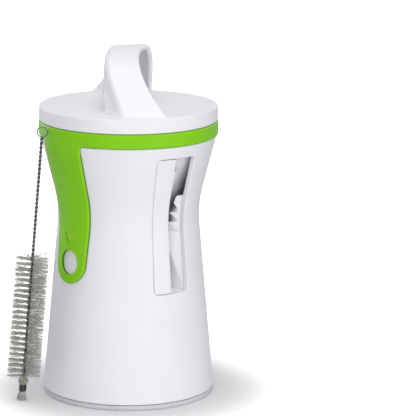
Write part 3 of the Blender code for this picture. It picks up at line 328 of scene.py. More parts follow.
# Materials


def add_node(tree, kind, settings=None, inputs=None):
    """New node, with its settings and the values of its unlinked sockets."""
    made = tree.nodes.new(kind)
    for name, value in (settings or {}).items():
        setattr(made, name, value)
    for name, value in (inputs or {}).items():
        made.inputs[name].default_value = value
    return made


def new_material(name):
    material = bpy.data.materials.new(name)
    material.use_nodes = True
    tree = material.node_tree
    return material, tree, tree.nodes["Principled BSDF"]


def coordinates(tree, stretch=1.0):
    place = add_node(tree, "ShaderNodeTexCoord")
    mapping = add_node(tree, "ShaderNodeMapping", inputs={"Scale": (1.0, 1.0, stretch)})
    tree.links.new(place.outputs["Object"], mapping.inputs["Vector"])
    return mapping.outputs["Vector"]


def noise_at(tree, vector, scale, detail=3.0):
    made = add_node(tree, "ShaderNodeTexNoise", inputs={"Scale": scale, "Detail": detail})
    tree.links.new(vector, made.inputs["Vector"])
    return made.outputs["Fac"]


def ranged(tree, value, low, high):
    """The noise's usual range spread from low to high."""
    span = {"From Min": NOISE_LOW, "From Max": NOISE_HIGH, "To Min": low, "To Max": high}
    made = add_node(tree, "ShaderNodeMapRange", inputs=span)
    tree.links.new(value, made.inputs["Value"])
    return made.outputs["Result"]


def blended(tree, value, first, second):
    """Colour between two, over the noise's usual range."""
    ramp = add_node(tree, "ShaderNodeValToRGB")
    low, high = ramp.color_ramp.elements
    low.position = NOISE_LOW
    high.position = NOISE_HIGH
    low.color = (*first, 1.0)
    high.color = (*second, 1.0)
    tree.links.new(value, ramp.inputs["Fac"])
    return ramp.outputs["Color"]


def bumped(tree, value, shader, strength, distance):
    bump = add_node(tree, "ShaderNodeBump", inputs={"Strength": strength, "Distance": distance})
    tree.links.new(value, bump.inputs["Height"])
    tree.links.new(bump.outputs["Normal"], shader.inputs["Normal"])


def plastic(name, light, dark, roughness, specular, coat=0.0):
    """Moulded plastic: slight clouding, a fine orange peel and uneven gloss."""
    material, tree, shader = new_material(name)
    vector = coordinates(tree)
    clouds = noise_at(tree, vector, CLOUD_SCALE)
    tree.links.new(blended(tree, clouds, dark, light), shader.inputs["Base Color"])
    gloss = noise_at(tree, vector, GLOSS_SCALE, 2.0)
    tree.links.new(ranged(tree, gloss, roughness - 0.03, roughness + 0.03), shader.inputs["Roughness"])
    bumped(tree, noise_at(tree, vector, PEEL_SCALE, 1.0), shader, PEEL_STRENGTH, PEEL_HEIGHT)
    shader.inputs["Coat Weight"].default_value = coat
    shader.inputs["Coat Roughness"].default_value = COAT_ROUGHNESS
    shader.inputs["Specular IOR Level"].default_value = specular
    return material


def metal(name, light, dark, roughness, stretch):
    """Drawn or brushed metal: fine lines across Z, which lie closer together with a larger stretch."""
    material, tree, shader = new_material(name)
    vector = coordinates(tree, stretch)
    lines = noise_at(tree, vector, LINE_SCALE, 4.0)
    tree.links.new(blended(tree, lines, dark, light), shader.inputs["Base Color"])
    tree.links.new(ranged(tree, lines, roughness - 0.06, roughness + 0.10), shader.inputs["Roughness"])
    bumped(tree, lines, shader, LINE_STRENGTH, LINE_HEIGHT)
    shader.inputs["Metallic"].default_value = 1.0
    return material


def fibre(name, light, dark, roughness):
    """Matt strands whose shade varies from one to the next."""
    material, tree, shader = new_material(name)
    vector = coordinates(tree)
    shade = noise_at(tree, vector, STRAND_SCALE, 2.0)
    tree.links.new(blended(tree, shade, dark, light), shader.inputs["Base Color"])
    tree.links.new(ranged(tree, shade, roughness - 0.1, roughness + 0.1), shader.inputs["Roughness"])
    return material


WHITE = plastic(
    "white_plastic", (0.86, 0.86, 0.89), (0.845, 0.845, 0.875), roughness=0.42, specular=0.3, coat=0.05
)
LIME = plastic("lime_plastic", (0.235, 0.63, 0.006), (0.22, 0.60, 0.004), roughness=0.34, specular=0.25)
# Darker lime: painted shade on the lowest part of the walls of the arm, its sight hole and its mark
LIME_PAINTED_SHADE = plastic(
    "lime_plastic_painted_shade", (0.06, 0.19, 0.004), (0.05, 0.16, 0.003), roughness=0.5, specular=0.2
)
MARK_LIME = plastic(
    "lime_plastic_in_mark", (0.34, 0.66, 0.02), (0.31, 0.62, 0.015), roughness=0.4, specular=0.25
)
PAD = plastic("grey_pad", (0.70, 0.70, 0.72), (0.62, 0.62, 0.64), roughness=0.75, specular=0.3)
STEEL = metal("brushed_steel", (0.72, 0.73, 0.75), (0.56, 0.57, 0.59), roughness=0.26, stretch=12.0)
DARK_WIRE = metal("drawn_wire", (0.34, 0.33, 0.31), (0.11, 0.105, 0.10), roughness=0.38, stretch=4.0)
BRASS = metal("turned_brass", (0.75, 0.58, 0.30), (0.62, 0.47, 0.22), roughness=0.32, stretch=14.0)
# Dark wire: the wrapped band's own colour, and painted shade on the twisted wire where it runs among the
# bristles
DARK_WRAP_AND_WIRE_SHADE = metal("wrapped_wire_and_painted_wire_shade", (0.14, 0.135, 0.125), (0.05, 0.05, 0.045), roughness=0.45, stretch=4.0)
NYLON = fibre("nylon_filament", (0.76, 0.76, 0.69), (0.46, 0.46, 0.41), roughness=0.5)
PALE_FIBRE = fibre("pale_fibre", (0.66, 0.65, 0.61), (0.34, 0.33, 0.30), roughness=0.8)


# Gathering points, normals and faces


def on_azimuth(radius, azimuth):
    angle = math.radians(azimuth)
    return radius * math.sin(angle), -radius * math.cos(angle)


def link(made):
    bpy.context.scene.collection.objects.link(made)
    return made


def fitted(made, body, replaced=()):
    """Sets a piece on its body and hides the nodes that it stands for."""
    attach(made, body)
    if replaced:
        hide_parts(*replaced)


class Skin:
    """Points with normals, and the faces between them, which take the current tone's material."""

    def __init__(self, frame_at=None):
        self.points = []
        self.normals = []
        self.faces = []
        self.tones = []
        self.tone = 0
        self.frame_at = frame_at

    def add(self, point, normal):
        self.points.append(Vector(point))
        self.normals.append(Vector(normal).normalized())
        return len(self.points) - 1

    def face(self, *corners):
        """Face over three or more points, turned to the side of their normals."""
        corners = list(dict.fromkeys(corners))
        if len(corners) < 3:
            return
        points = [self.points[corner] for corner in corners]
        across = (points[1] - points[0]).cross(points[2] - points[0])
        if len(corners) == 4:
            across += (points[2] - points[0]).cross(points[3] - points[0])
        out = sum((self.normals[corner] for corner in corners), Vector())
        self.faces.append(corners if across.dot(out) >= 0.0 else corners[::-1])
        self.tones.append(self.tone)

    def bridge(self, low, high, closed=False):
        """Strip of faces between two rows of points."""
        count = len(low)
        for index in range(count if closed else count - 1):
            after = (index + 1) % count
            self.face(low[index], low[after], high[after], high[index])

    def build(self, name, materials, body, replaced=(), own_normals=True):
        """Makes the object, in the skin's own frame where it has one."""
        if self.frame_at:
            turned = self.frame_at.to_3x3()
            self.points = [self.frame_at @ point for point in self.points]
            self.normals = [turned @ normal for normal in self.normals]
        mesh = bpy.data.meshes.new(name)
        mesh.from_pydata(self.points, [], self.faces)
        for material in materials:
            mesh.materials.append(material)
        mesh.polygons.foreach_set("material_index", self.tones)
        mesh.shade_smooth()
        if own_normals:
            mesh.normals_split_custom_set_from_vertices(self.normals)
        fitted(link(bpy.data.objects.new(name, mesh)), body, replaced)


# Paths and profiles


def left_of(direction):
    return Vector((-direction.y, direction.x))


def directions(path, index, closed):
    """Unit vectors along which a path reaches one of its points and leaves it."""
    reaches = None
    leaves = None
    if closed or index > 0:
        reaches = (path[index] - path[index - 1]).normalized()
    if closed or index < len(path) - 1:
        leaves = (path[(index + 1) % len(path)] - path[index]).normalized()
    return reaches or leaves, leaves or reaches


def line(start, end, spacing):
    """Points from start to just before end."""
    start = Vector(start)
    end = Vector(end)
    count = max(1, round((end - start).length / spacing))
    return [start.lerp(end, step / count) for step in range(count)]


def joined(parts, spacing, closed=True):
    """Path through arcs and single points, with straight lines from one to the next."""
    path = []
    for part in [*parts, parts[0][:1]] if closed else parts:
        if path:
            path += line(path.pop(), part[0], spacing)
        path += part
    return path[:-1] if closed else path


def arc(centre, radius, start, end, steps):
    """Points round a centre, between two angles in degrees."""
    turns = [math.radians(start + (end - start) * step / steps) for step in range(steps + 1)]
    x, y = centre
    return [Vector((x + radius * math.cos(turn), y + radius * math.sin(turn))) for turn in turns]


def rounded_box(left, right, bottom, top, radius, spacing):
    """Loop round a box with round corners, anticlockwise."""
    corners = []
    places = ((right, top, 0.0), (left, top, 90.0), (left, bottom, 180.0), (right, bottom, 270.0))
    for x, y, start in places:
        centre = (x - radius if x == right else x + radius, y - radius if y == top else y + radius)
        corners.append(arc(centre, radius, start, start + 90.0, CORNER_STEPS))
    return joined(corners, spacing)


def left_offset(path, distance, closed):
    """The path moved to its left, with the unit vectors that point there."""
    moved = []
    for index, point in enumerate(path):
        before, after = directions(path, index, closed)
        first = left_of(before)
        last = left_of(after)
        left = (first + last) / (1.0 + first.dot(last))
        moved.append((point + distance * left, left.normalized()))
    return moved


def rounded(corners, closed=False):
    """Profile of (radius, height, normal) through corners of (radius, height, rounding).

    The normals point to the left of its run, so its outer side runs down. The rounding may be left out.
    """
    places = [Vector(corner[:2]) for corner in corners]
    profile = []
    for index, corner in enumerate(corners):
        place = places[index]
        before, after = directions(places, index, closed)
        first = left_of(before)
        last = left_of(after)
        turning = before.angle_signed(after, 0.0)
        rounding = corner[2] if len(corner) > 2 else 0.0
        if not rounding or abs(turning) < STRAIGHT_TURN:
            profile.append((*place, first))
            if abs(turning) > SHARP_TURN:
                profile.append((*place, last))
            continue
        side = 1.0 if before.cross(after) < 0.0 else -1.0
        start = place - before * rounding * math.tan(abs(turning) / 2)
        centre = start - side * rounding * first
        for step in range(ROUNDING_STEPS + 1):
            normal = first.slerp(last, step / ROUNDING_STEPS)
            profile.append((*(centre + side * rounding * normal), normal))
    if closed:
        profile.append(profile[0])
    return profile


def flipped(profile):
    return [(radius, height, -normal) for radius, height, normal in profile]


# Surfaces


def turn(skin, profile, facets=FACETS, start=0.0, end=360.0):
    """Turn a profile about +Z between two azimuths."""
    rows = []
    for radius, height, normal in profile:
        row = []
        for step in range(facets + 1):
            x, y = on_azimuth(1.0, start + (end - start) * step / facets)
            row.append(skin.add((radius * x, radius * y, height), (normal.x * x, normal.x * y, normal.y)))
        rows.append(row)
    for low, high in zip(rows, rows[1:]):
        skin.bridge(low, high)


def inside(point, loop):
    found = False
    for first, last in zip(loop, loop[1:] + loop[:1]):
        if (first.y > point.y) != (last.y > point.y):
            if point.x < (last.x - first.x) * (point.y - first.y) / (last.y - first.y) + first.x:
                found = not found
    return found


def surface_normal(place, point):
    """Normal of a surface that place gives as the point at u, v and a depth."""
    across = place(point.x + NUDGE, point.y, 0.0) - place(point.x - NUDGE, point.y, 0.0)
    up = place(point.x, point.y + NUDGE, 0.0) - place(point.x, point.y - NUDGE, 0.0)
    return across.cross(up).normalized()


def rim(skin, place, path, closed, edge, wall, shade_depth=math.inf):
    """Wall and rounded edge along a path that has the material on its left. Returns where the rounding ends.

    What lies deeper than the shade depth takes the skin's second material, which is a painted shade.
    """
    rows = [(0.0, wall, 0.0)]
    if edge < shade_depth < wall:
        rows.append((0.0, shade_depth, 0.0))
    for step in range(RIM_STEPS + 1):
        turned = math.pi / 2 * step / RIM_STEPS
        rows.append((edge * (1.0 - math.cos(turned)), edge * (1.0 - math.sin(turned)), turned))
    made = []
    for inset, depth, turned in rows:
        row = []
        for point, left in left_offset(path, inset, closed):
            small = 2 * NUDGE * left
            away = place(*(point - small), 0.0) - place(*(point + small), 0.0)
            normal = surface_normal(place, point) * math.sin(turned) + away.normalized() * math.cos(turned)
            row.append(skin.add(place(*point, depth), normal))
        made.append(row)
    for low, high, (_, depth, _) in zip(made, made[1:], rows[1:]):
        # Faces below the shade depth take the painted shade
        skin.tone = 1 if depth > shade_depth - NUDGE else 0
        skin.bridge(low, high, closed)
    return [point for point, _ in left_offset(path, edge, closed)]


def fill(skin, place, outer, holes, spacing, depth=0.0, side=1.0):
    """Triangles over a curved surface, inside an outer loop and outside its holes."""
    loops = [outer, *holes]
    points = [point for loop in loops for point in loop]
    edges = []
    for loop in loops:
        start = len(edges)
        count = len(loop)
        edges += [(start + index, start + (index + 1) % count) for index in range(count)]
    border = list(points)
    low = Vector((min(point.x for point in outer), min(point.y for point in outer)))
    high = Vector((max(point.x for point in outer), max(point.y for point in outer)))
    for row in range(1, int((high.y - low.y) / spacing) + 1):
        for column in range(1, int((high.x - low.x) / spacing) + 1):
            point = low + Vector((column, row)) * spacing
            if not inside(point, outer) or any(inside(point, hole) for hole in holes):
                continue
            if min((point - other).length_squared for other in border) > (BORDER_MARGIN * spacing) ** 2:
                points.append(point)
    scaled = [MILLIMETRES * point for point in points]
    _, _, triangles, sources, _, _ = delaunay_2d_cdt(scaled, edges, [], 0, TOLERANCE)
    made = [skin.add(place(*point, depth), side * surface_normal(place, point)) for point in points]
    for triangle in triangles:
        corners = [sources[corner][0] for corner in triangle]
        first, second, third = [points[corner] for corner in corners]
        # Points along a straight border also give slivers, which would span the hourglass as fins.
        if abs((second - first).cross(third - first)) < SLIVER:
            continue
        middle = (first + second + third) / 3
        if inside(middle, outer) and not any(inside(middle, hole) for hole in holes):
            skin.face(*[made[corner] for corner in corners])


# Shell, window and pad


def shell_radius(height):
    """Radius of the hourglass: two cones, blended by a parabola round the waist."""
    low_slope = (WAIST_CORNER_RADIUS - SHELL_BASE_RADIUS) / (WAIST_HEIGHT - SHELL_BOTTOM)
    high_slope = (SHELL_TOP_RADIUS - WAIST_CORNER_RADIUS) / (SHELL_TOP - WAIST_HEIGHT)
    low = WAIST_CORNER_RADIUS + low_slope * (height - WAIST_HEIGHT)
    into_blend = height - (WAIST_HEIGHT - WAIST_BLEND)
    if into_blend <= 0.0:
        return low
    if into_blend < 2 * WAIST_BLEND:
        return low + (high_slope - low_slope) * into_blend**2 / (4 * WAIST_BLEND)
    return WAIST_CORNER_RADIUS + high_slope * (height - WAIST_HEIGHT)


def shell_normal(height, side=1.0):
    slope = (shell_radius(height + NUDGE) - shell_radius(height - NUDGE)) / (2 * NUDGE)
    return side * Vector((1.0, -slope)).normalized()


def wall_profile(low, high, inset, side):
    """Profile of the hourglass between two heights, running down, moved inwards by an inset."""
    count = max(1, round((high - low) / FACE_SPACING))
    heights = [high + (low - high) * step / count for step in range(count + 1)]
    return [(shell_radius(height) - inset, height, shell_normal(height, side)) for height in heights]


def lip_profile(height, sign):
    """Half round over the wall's end at a height. Its sign is 1 at the top and -1 at the bottom."""
    reach = SHELL_WALL / 2
    middle = shell_radius(height) - reach
    profile = []
    for degrees in range(0, 181, LIP_STEP_ANGLE):
        turned = math.radians(degrees)
        normal = Vector((math.cos(turned), sign * math.sin(turned)))
        profile.append((middle + reach * normal.x, height + SHELL_LIP * normal.y, normal))
    return profile


def shell_place(u, v, depth):
    """Point of the hourglass: u is the arc at the waist's radius from the front, v the height."""
    x, y = on_azimuth(shell_radius(v) - depth, math.degrees(u / WAIST_CORNER_RADIUS))
    return Vector((x, y, v))


def arc_at(azimuth):
    return WAIST_CORNER_RADIUS * math.radians(azimuth)


def make_shell():
    """The shell: turned all round, apart from a band with the window."""
    skin = Skin()
    low = SHELL_BOTTOM + SHELL_LIP
    high = SHELL_TOP - SHELL_LIP
    band_left = FACET_ANGLE * math.floor(WINDOW_LEFT / FACET_ANGLE - 1.0)
    band_right = FACET_ANGLE * math.ceil(WINDOW_RIGHT / FACET_ANGLE + 1.0)
    facets = round((360.0 - band_right + band_left) / FACET_ANGLE)
    for side, inset in ((1.0, 0.0), (-1.0, SHELL_WALL)):
        turn(skin, wall_profile(low, high, inset, side), facets, band_right, band_left + 360.0)
    for height, sign in ((high, 1.0), (low, -1.0)):
        turn(skin, lip_profile(height, sign))
    sides = (arc_at(WINDOW_LEFT), arc_at(WINDOW_RIGHT))
    window = rounded_box(*sides, WINDOW_BOTTOM, WINDOW_TOP, WINDOW_CORNER, BORDER_SPACING)[::-1]
    hole = rim(skin, shell_place, window, True, WINDOW_EDGE, SHELL_WALL)
    left = arc_at(band_left)
    right = arc_at(band_right)
    border = joined([[(left, low)], [(right, low)], [(right, high)], [(left, high)]], FACE_SPACING)
    fill(skin, shell_place, border, [hole], FACE_SPACING)
    fill(skin, shell_place, border, [window], BACK_SPACING, SHELL_WALL, -1.0)
    skin.build("stand_shell", [WHITE], "stand", ["outer_shell"])


def make_strip():
    """The insert's face in the window's left part, flush with the shell."""
    skin = Skin()
    left = arc_at(WINDOW_LEFT) + PARTING_GAP
    right = arc_at(STRIP_RIGHT)
    low = WINDOW_BOTTOM + PARTING_GAP
    high = WINDOW_TOP - PARTING_GAP
    corner = WINDOW_CORNER - PARTING_GAP
    bottom_left = arc((left + corner, low + corner), corner, 180.0, 270.0, CORNER_STEPS)
    top_left = arc((left + corner, high - corner), corner, 90.0, 180.0, CORNER_STEPS)
    loop = joined([[(right, low)], [(right, high)], top_left, bottom_left], BORDER_SPACING)
    face = rim(skin, shell_place, loop, True, STRIP_EDGE, STRIP_THICKNESS)
    fill(skin, shell_place, face, [], FACE_SPACING)
    fill(skin, shell_place, loop, [], STRIP_BACK_SPACING, STRIP_THICKNESS, -1.0)
    skin.build("window_strip", [WHITE], "stand")


def make_pad():
    skin = Skin()
    turn(skin, rounded(PAD_CORNERS))
    skin.build("rubber_pad", [PAD], "stand", ["non_slip_pad"])


# Collar and arm


def arm_radius(height):
    """Radius of the arm's face, which eases into the collar's wall and reaches it at the collar's bottom."""
    proud = shell_radius(height) + ARM_PROUD
    gap = min(1.0, max(-1.0, (COLLAR_RADIUS - proud) / ARM_EASE))
    return min(proud, COLLAR_RADIUS) - ARM_EASE * (1.0 - abs(gap)) ** 2 / 4


def arm_place(u, v, depth):
    """Point of the arm's face: u is measured across the arm in its plane, v is the height."""
    outer = arm_radius(v)
    radius = max(outer - depth, min(outer, shell_radius(v) + ARM_CLEARANCE))
    azimuth = ARM_AZIMUTH + math.degrees(math.asin(max(-1.0, min(1.0, u / radius))))
    x, y = on_azimuth(radius, azimuth)
    return Vector((x, y, v))


def arm_outline():
    """The collar's lower border with the arm below it, from left to right."""
    corner = ARM_HALF_WIDTH + ARM_FILLET
    fillet_height = COLLAR_BOTTOM - ARM_FILLET
    start = Vector((-PATCH_SIDE, COLLAR_BOTTOM))
    end = Vector((PATCH_SIDE, COLLAR_BOTTOM))
    left = arc((-corner, fillet_height), ARM_FILLET, 90.0, 0.0, FILLET_STEPS)
    tip = arc((0.0, HOLE_HEIGHT), ARM_TIP_RADIUS, 180.0, 360.0, CIRCLE_STEPS)
    right = arc((corner, fillet_height), ARM_FILLET, 180.0, 90.0, FILLET_STEPS)
    return joined([[start], left, tip, right, [end]], ARM_BORDER_SPACING, closed=False)


def add_arm(skin, high):
    """The arm, in one with the collar's wall above it up to a height."""
    face = rim(skin, arm_place, arm_outline(), False, ARM_EDGE, ARM_WALL, ARM_SHADE_DEPTH)
    outer = joined([face, [(PATCH_SIDE, high)], [(-PATCH_SIDE, high)]], ARM_BORDER_SPACING)
    hole = arc((0.0, HOLE_HEIGHT), HOLE_RADIUS, 360.0, 0.0, CIRCLE_STEPS)[:-1]
    mark = joined([[corner] for corner in MARK_CORNERS], MARK_BORDER_SPACING)
    hole_edge = rim(skin, arm_place, hole, True, HOLE_EDGE, ARM_WALL, HOLE_SHADE_DEPTH)
    mark_edge = rim(skin, arm_place, mark, True, MARK_EDGE, MARK_DEPTH, MARK_SHADE_DEPTH)
    fill(skin, arm_place, outer, [hole_edge, mark_edge], ARM_FACE_SPACING)
    skin.tone = 2
    fill(skin, arm_place, mark[::-1], [], MARK_FACE_SPACING, MARK_DEPTH)
    skin.tone = 0


def make_collar():
    skin = Skin()
    high = COLLAR_TOP - COLLAR_EDGE
    add_arm(skin, high)
    # The ring's outer wall stops where the arm's surface takes over.
    left = ARM_AZIMUTH - PATCH_REACH
    right = ARM_AZIMUTH + PATCH_REACH
    wall = [(UNDERSIDE_BORE, COLLAR_BOTTOM), (COLLAR_RADIUS, COLLAR_BOTTOM, ARM_EDGE), (COLLAR_RADIUS, high)]
    facets = round((360.0 - 2 * PATCH_REACH) / FACET_ANGLE)
    turn(skin, flipped(rounded(wall)), facets, right, left + 360.0)
    down = Vector((0.0, -1.0))
    ends = (UNDERSIDE_BORE, COLLAR_RADIUS - UNDERSIDE_SETBACK)
    underside = [(radius, COLLAR_BOTTOM, down) for radius in ends]
    turn(skin, underside, round(2 * PATCH_REACH / FACET_ANGLE), left, right)
    bore = COLLAR_RADIUS - COLLAR_WALL
    ledge = COLLAR_TOP - LEDGE_DEPTH
    inner = [
        (COLLAR_RADIUS, high),
        (COLLAR_RADIUS, COLLAR_TOP, 0.0010),
        (bore, COLLAR_TOP, 0.0006),
        (bore, ledge, 0.0003),
        (LEDGE_RADIUS, ledge, 0.0006),
        (LINER_RADIUS, LINER_TOP, 0.0010),
        (LINER_RADIUS, LINER_END, 0.0004),
        (LINER_OUTER, LINER_END, 0.0004),
        (LINER_OUTER, COLLAR_BOTTOM),
    ]
    turn(skin, flipped(rounded(inner)))
    materials = [LIME, LIME_PAINTED_SHADE, MARK_LIME]
    skin.build("selector_ring", materials, "blade_drum", ["selector_collar"])


# Cap, handle and guide ring


def dome_height(radius):
    return CAP_RIM + CAP_DOME * (1.0 - (radius / CAP_RADIUS) ** 2)


def make_cap():
    skin = Skin()
    top = []
    for step in range(DOME_STEPS + 1):
        radius = (CAP_RADIUS - CAP_EDGE) * step / DOME_STEPS
        slope = -2 * CAP_DOME * radius / CAP_RADIUS**2
        top.append((radius, dome_height(radius), Vector((-slope, 1.0)).normalized()))
    edge_height = top[-1][1]
    turn(skin, top)
    side = [
        (CAP_RADIUS - CAP_EDGE, edge_height),
        (CAP_RADIUS, edge_height, CAP_EDGE),
        (CAP_RADIUS, CAP_BOTTOM, 0.0005),
        (CAP_BORE, CAP_BOTTOM, 0.0003),
        (CAP_BORE, CAP_CEILING, 0.0005),
        (0.0, CAP_CEILING),
    ]
    turn(skin, rounded(side))
    skin.build("cap_shell", [WHITE], "cap", ["holder_cap"])


def guide_point(controls, along):
    """Point of a guide curve, a Bezier curve whose foot is sunk into the dome."""
    start, after_start, before_end, (foot_x, foot_y, _) = [Vector(point) for point in controls]
    foot = Vector((foot_x, foot_y, dome_height(math.hypot(foot_x, foot_y)) - HANDLE_SINK - CAP_RIM))
    back = 1.0 - along
    point = back**3 * start + 3 * back**2 * along * after_start
    point += 3 * back * along**2 * before_end
    point += along**3 * foot
    return point + Vector((0.0, 0.0, CAP_RIM))


def ribbon_point(across, along):
    """Point of the ribbon's middle surface, with its crease eased by a parabola.

    Across runs from 0 to 1. Along runs from 0 at the crest to 1 at the front foot and -1 at the back one.
    """
    if along < 0.0:
        return HALF_TURN @ ribbon_point(1.0 - across, -along)
    free = guide_point(FREE_EDGE, along)
    crease = guide_point(CREASE, along)
    right = guide_point(RIGHT_EDGE, along)

    def straight(share):
        if share < CREASE_SHARE:
            return free.lerp(crease, share / CREASE_SHARE)
        return crease.lerp(right, (share - CREASE_SHARE) / (1.0 - CREASE_SHARE))

    if abs(across - CREASE_SHARE) >= CREASE_EASE:
        return straight(across)
    share = (across - CREASE_SHARE + CREASE_EASE) / (2 * CREASE_EASE)
    first = straight(CREASE_SHARE - CREASE_EASE)
    last = straight(CREASE_SHARE + CREASE_EASE)
    return (1 - share) ** 2 * first + 2 * share * (1 - share) * crease + share**2 * last


def ribbon_frame(share, along):
    """Point of the ribbon's middle surface, with its normal and the way across."""
    left = ribbon_point(max(0.0, share - RIBBON_NUDGE), along)
    right = ribbon_point(min(1.0, share + RIBBON_NUDGE), along)
    above = ribbon_point(share, max(-1.0, along - RIBBON_NUDGE))
    below = ribbon_point(share, min(1.0, along + RIBBON_NUDGE))
    across = right - left
    return ribbon_point(share, along), across.cross(below - above).normalized(), across.normalized()


def ribbon_edge(edge_frame, side):
    """Points with normals round a long edge of the ribbon, from one face to the other."""
    here, normal, across = edge_frame
    section = []
    for step in range(1, RIBBON_EDGE_STEPS):
        turned = math.pi * step / RIBBON_EDGE_STEPS
        way = normal * math.cos(turned) + across * math.sin(turned)
        reach = normal * math.cos(turned) + RIBBON_EDGE_BULGE * across * math.sin(turned)
        section.append((here + side * HANDLE_HALF_THICKNESS * reach, side * way))
    return section


def flared(point, normal):
    """The point moved out where the ribbon meets the cap, as a round fillet."""
    height = point.z - dome_height(math.hypot(point.x, point.y))
    if height >= FOOT_FILLET:
        return point
    out = Vector((normal.x, normal.y, 0.0)).normalized()
    left = FOOT_FILLET - max(height, 0.0)
    return point + out * (FOOT_FILLET - math.sqrt(FOOT_FILLET**2 - left**2))


def make_handle():
    """The ribbon: closed sections from the back foot over the crest to the front foot, closer at the feet."""
    skin = Skin()
    foot_start = 1.0 - FOOT_SHARE
    front = [foot_start * step / LEG_ROWS for step in range(LEG_ROWS + 1)]
    front += [foot_start + FOOT_SHARE * step / FOOT_ROWS for step in range(1, FOOT_ROWS + 1)]
    width = 1.0 - 2 * RIBBON_MARGIN
    shares = [RIBBON_MARGIN + width * step / RIBBON_STEPS for step in range(RIBBON_STEPS + 1)]
    half = HANDLE_HALF_THICKNESS
    loops = []
    for along in [-share for share in reversed(front[1:])] + front:
        frames = [ribbon_frame(share, along) for share in shares]
        section = [(here + half * normal, normal) for here, normal, _ in frames]
        section += ribbon_edge(frames[-1], 1.0)
        section += [(here - half * normal, -normal) for here, normal, _ in reversed(frames)]
        section += ribbon_edge(frames[0], -1.0)
        loops.append([skin.add(flared(point, normal), normal) for point, normal in section])
    for low, high in zip(loops, loops[1:]):
        skin.bridge(low, high, closed=True)
    skin.build("ribbon_handle", [WHITE], "cap", own_normals=False)


def make_guide_ring():
    skin = Skin()
    corners = [
        (GUIDE_BORE, GUIDE_TOP, 0.0003),
        (GUIDE_RADIUS, GUIDE_TOP, 0.0003),
        (GUIDE_RADIUS, GUIDE_BOTTOM, 0.0006),
        (GUIDE_BORE, GUIDE_BOTTOM, 0.0004),
        (GUIDE_BORE, GUIDE_LIP_BOTTOM, 0.0003),
        (GUIDE_LIP_RADIUS, GUIDE_LIP_BOTTOM, 0.0003),
        (GUIDE_LIP_RADIUS, GUIDE_LIP_TOP, 0.0003),
        (GUIDE_BORE, GUIDE_LIP_TOP, 0.0003),
    ]
    turn(skin, rounded(corners, closed=True))
    skin.build("guide_ring", [WHITE], "cap_carrier", ["cap_guide_ring"])


# Brush


def brush_frame():
    """Frame of the brush, which leans with its loop against the collar."""
    touch = COLLAR_RADIUS + BRUSH_GAP
    top_x = -(math.sqrt(touch**2 - BRUSH_FRONT**2) + (LOOP_RADIUS + LOOP_WIRE_RADIUS))
    lean = math.radians(BRUSH_LEAN)
    foot_x = top_x - LOOP_HEIGHT * math.sin(lean)
    return Matrix.Translation((foot_x, BRUSH_FRONT, BRUSH_LIFT)) @ Matrix.Rotation(lean, 4, "Y")


def round_wire(radius, turned, height):
    return Vector((radius * math.cos(turned), radius * math.sin(turned), height))


def strand(skin, points, radii, sides=3, closed=False):
    """Thin tube through points, with a radius at each."""
    rows = []
    count = len(points)
    for index, (point, radius) in enumerate(zip(points, radii)):
        ahead = points[(index + 1) % count] if closed else points[min(index + 1, count - 1)]
        behind = points[index - 1] if closed else points[max(index - 1, 0)]
        along = (ahead - behind).normalized()
        side = along.cross(ODD_WAY).normalized()
        other = along.cross(side)
        row = []
        for step in range(sides):
            turned = 2 * math.pi * step / sides
            way = side * math.cos(turned) + other * math.sin(turned)
            row.append(skin.add(point + radius * way, way))
        rows.append(row)
    for low, high in zip(rows, rows[1:] + (rows[:1] if closed else [])):
        skin.bridge(low, high, closed=True)
    if not closed:
        skin.face(*rows[0])
        skin.face(*rows[-1])


def helix(radius, pitch, start, end, phase, per_turn=14):
    count = max(2, round((end - start) / pitch * per_turn))
    heights = [start + (end - start) * step / count for step in range(count + 1)]
    return [round_wire(radius, 2 * math.pi * (height - start) / pitch + phase, height) for height in heights]


def make_wire(frame_at):
    """Two wires twisted together up to the loop, in longer turns where they grip the bristles."""
    skin = Skin(frame_at)
    grip_end = BULB_TOP + BRISTLE_LENGTH
    top = LOOP_HEIGHT - LOOP_RADIUS + LOOP_OVERLAP
    for phase in (0.0, math.pi):
        # Among the bristles the wire takes the darker second material, a painted shade
        skin.tone = 1
        points = helix(WIRE_RADIUS, BRISTLE_PITCH, BULB_TOP, grip_end, phase)
        strand(skin, points, [WIRE_RADIUS] * len(points), WIRE_SIDES)
        skin.tone = 0
        turned = phase + 2 * math.pi * BRISTLE_LENGTH / BRISTLE_PITCH
        points = helix(WIRE_RADIUS, WIRE_PITCH, grip_end, top, turned)
        strand(skin, points, [WIRE_RADIUS] * len(points), WIRE_SIDES)
    ring = []
    for step in range(CIRCLE_STEPS):
        turned = 2 * math.pi * step / CIRCLE_STEPS
        x = LOOP_RADIUS * math.sin(turned)
        ring.append(Vector((x, 0.0, LOOP_HEIGHT + LOOP_RADIUS * math.cos(turned))))
    strand(skin, ring, [LOOP_WIRE_RADIUS] * len(ring), LOOP_SIDES, closed=True)
    skin.build("twisted_wire", [DARK_WIRE, DARK_WRAP_AND_WIRE_SHADE], "brush", ["brush_stem"])


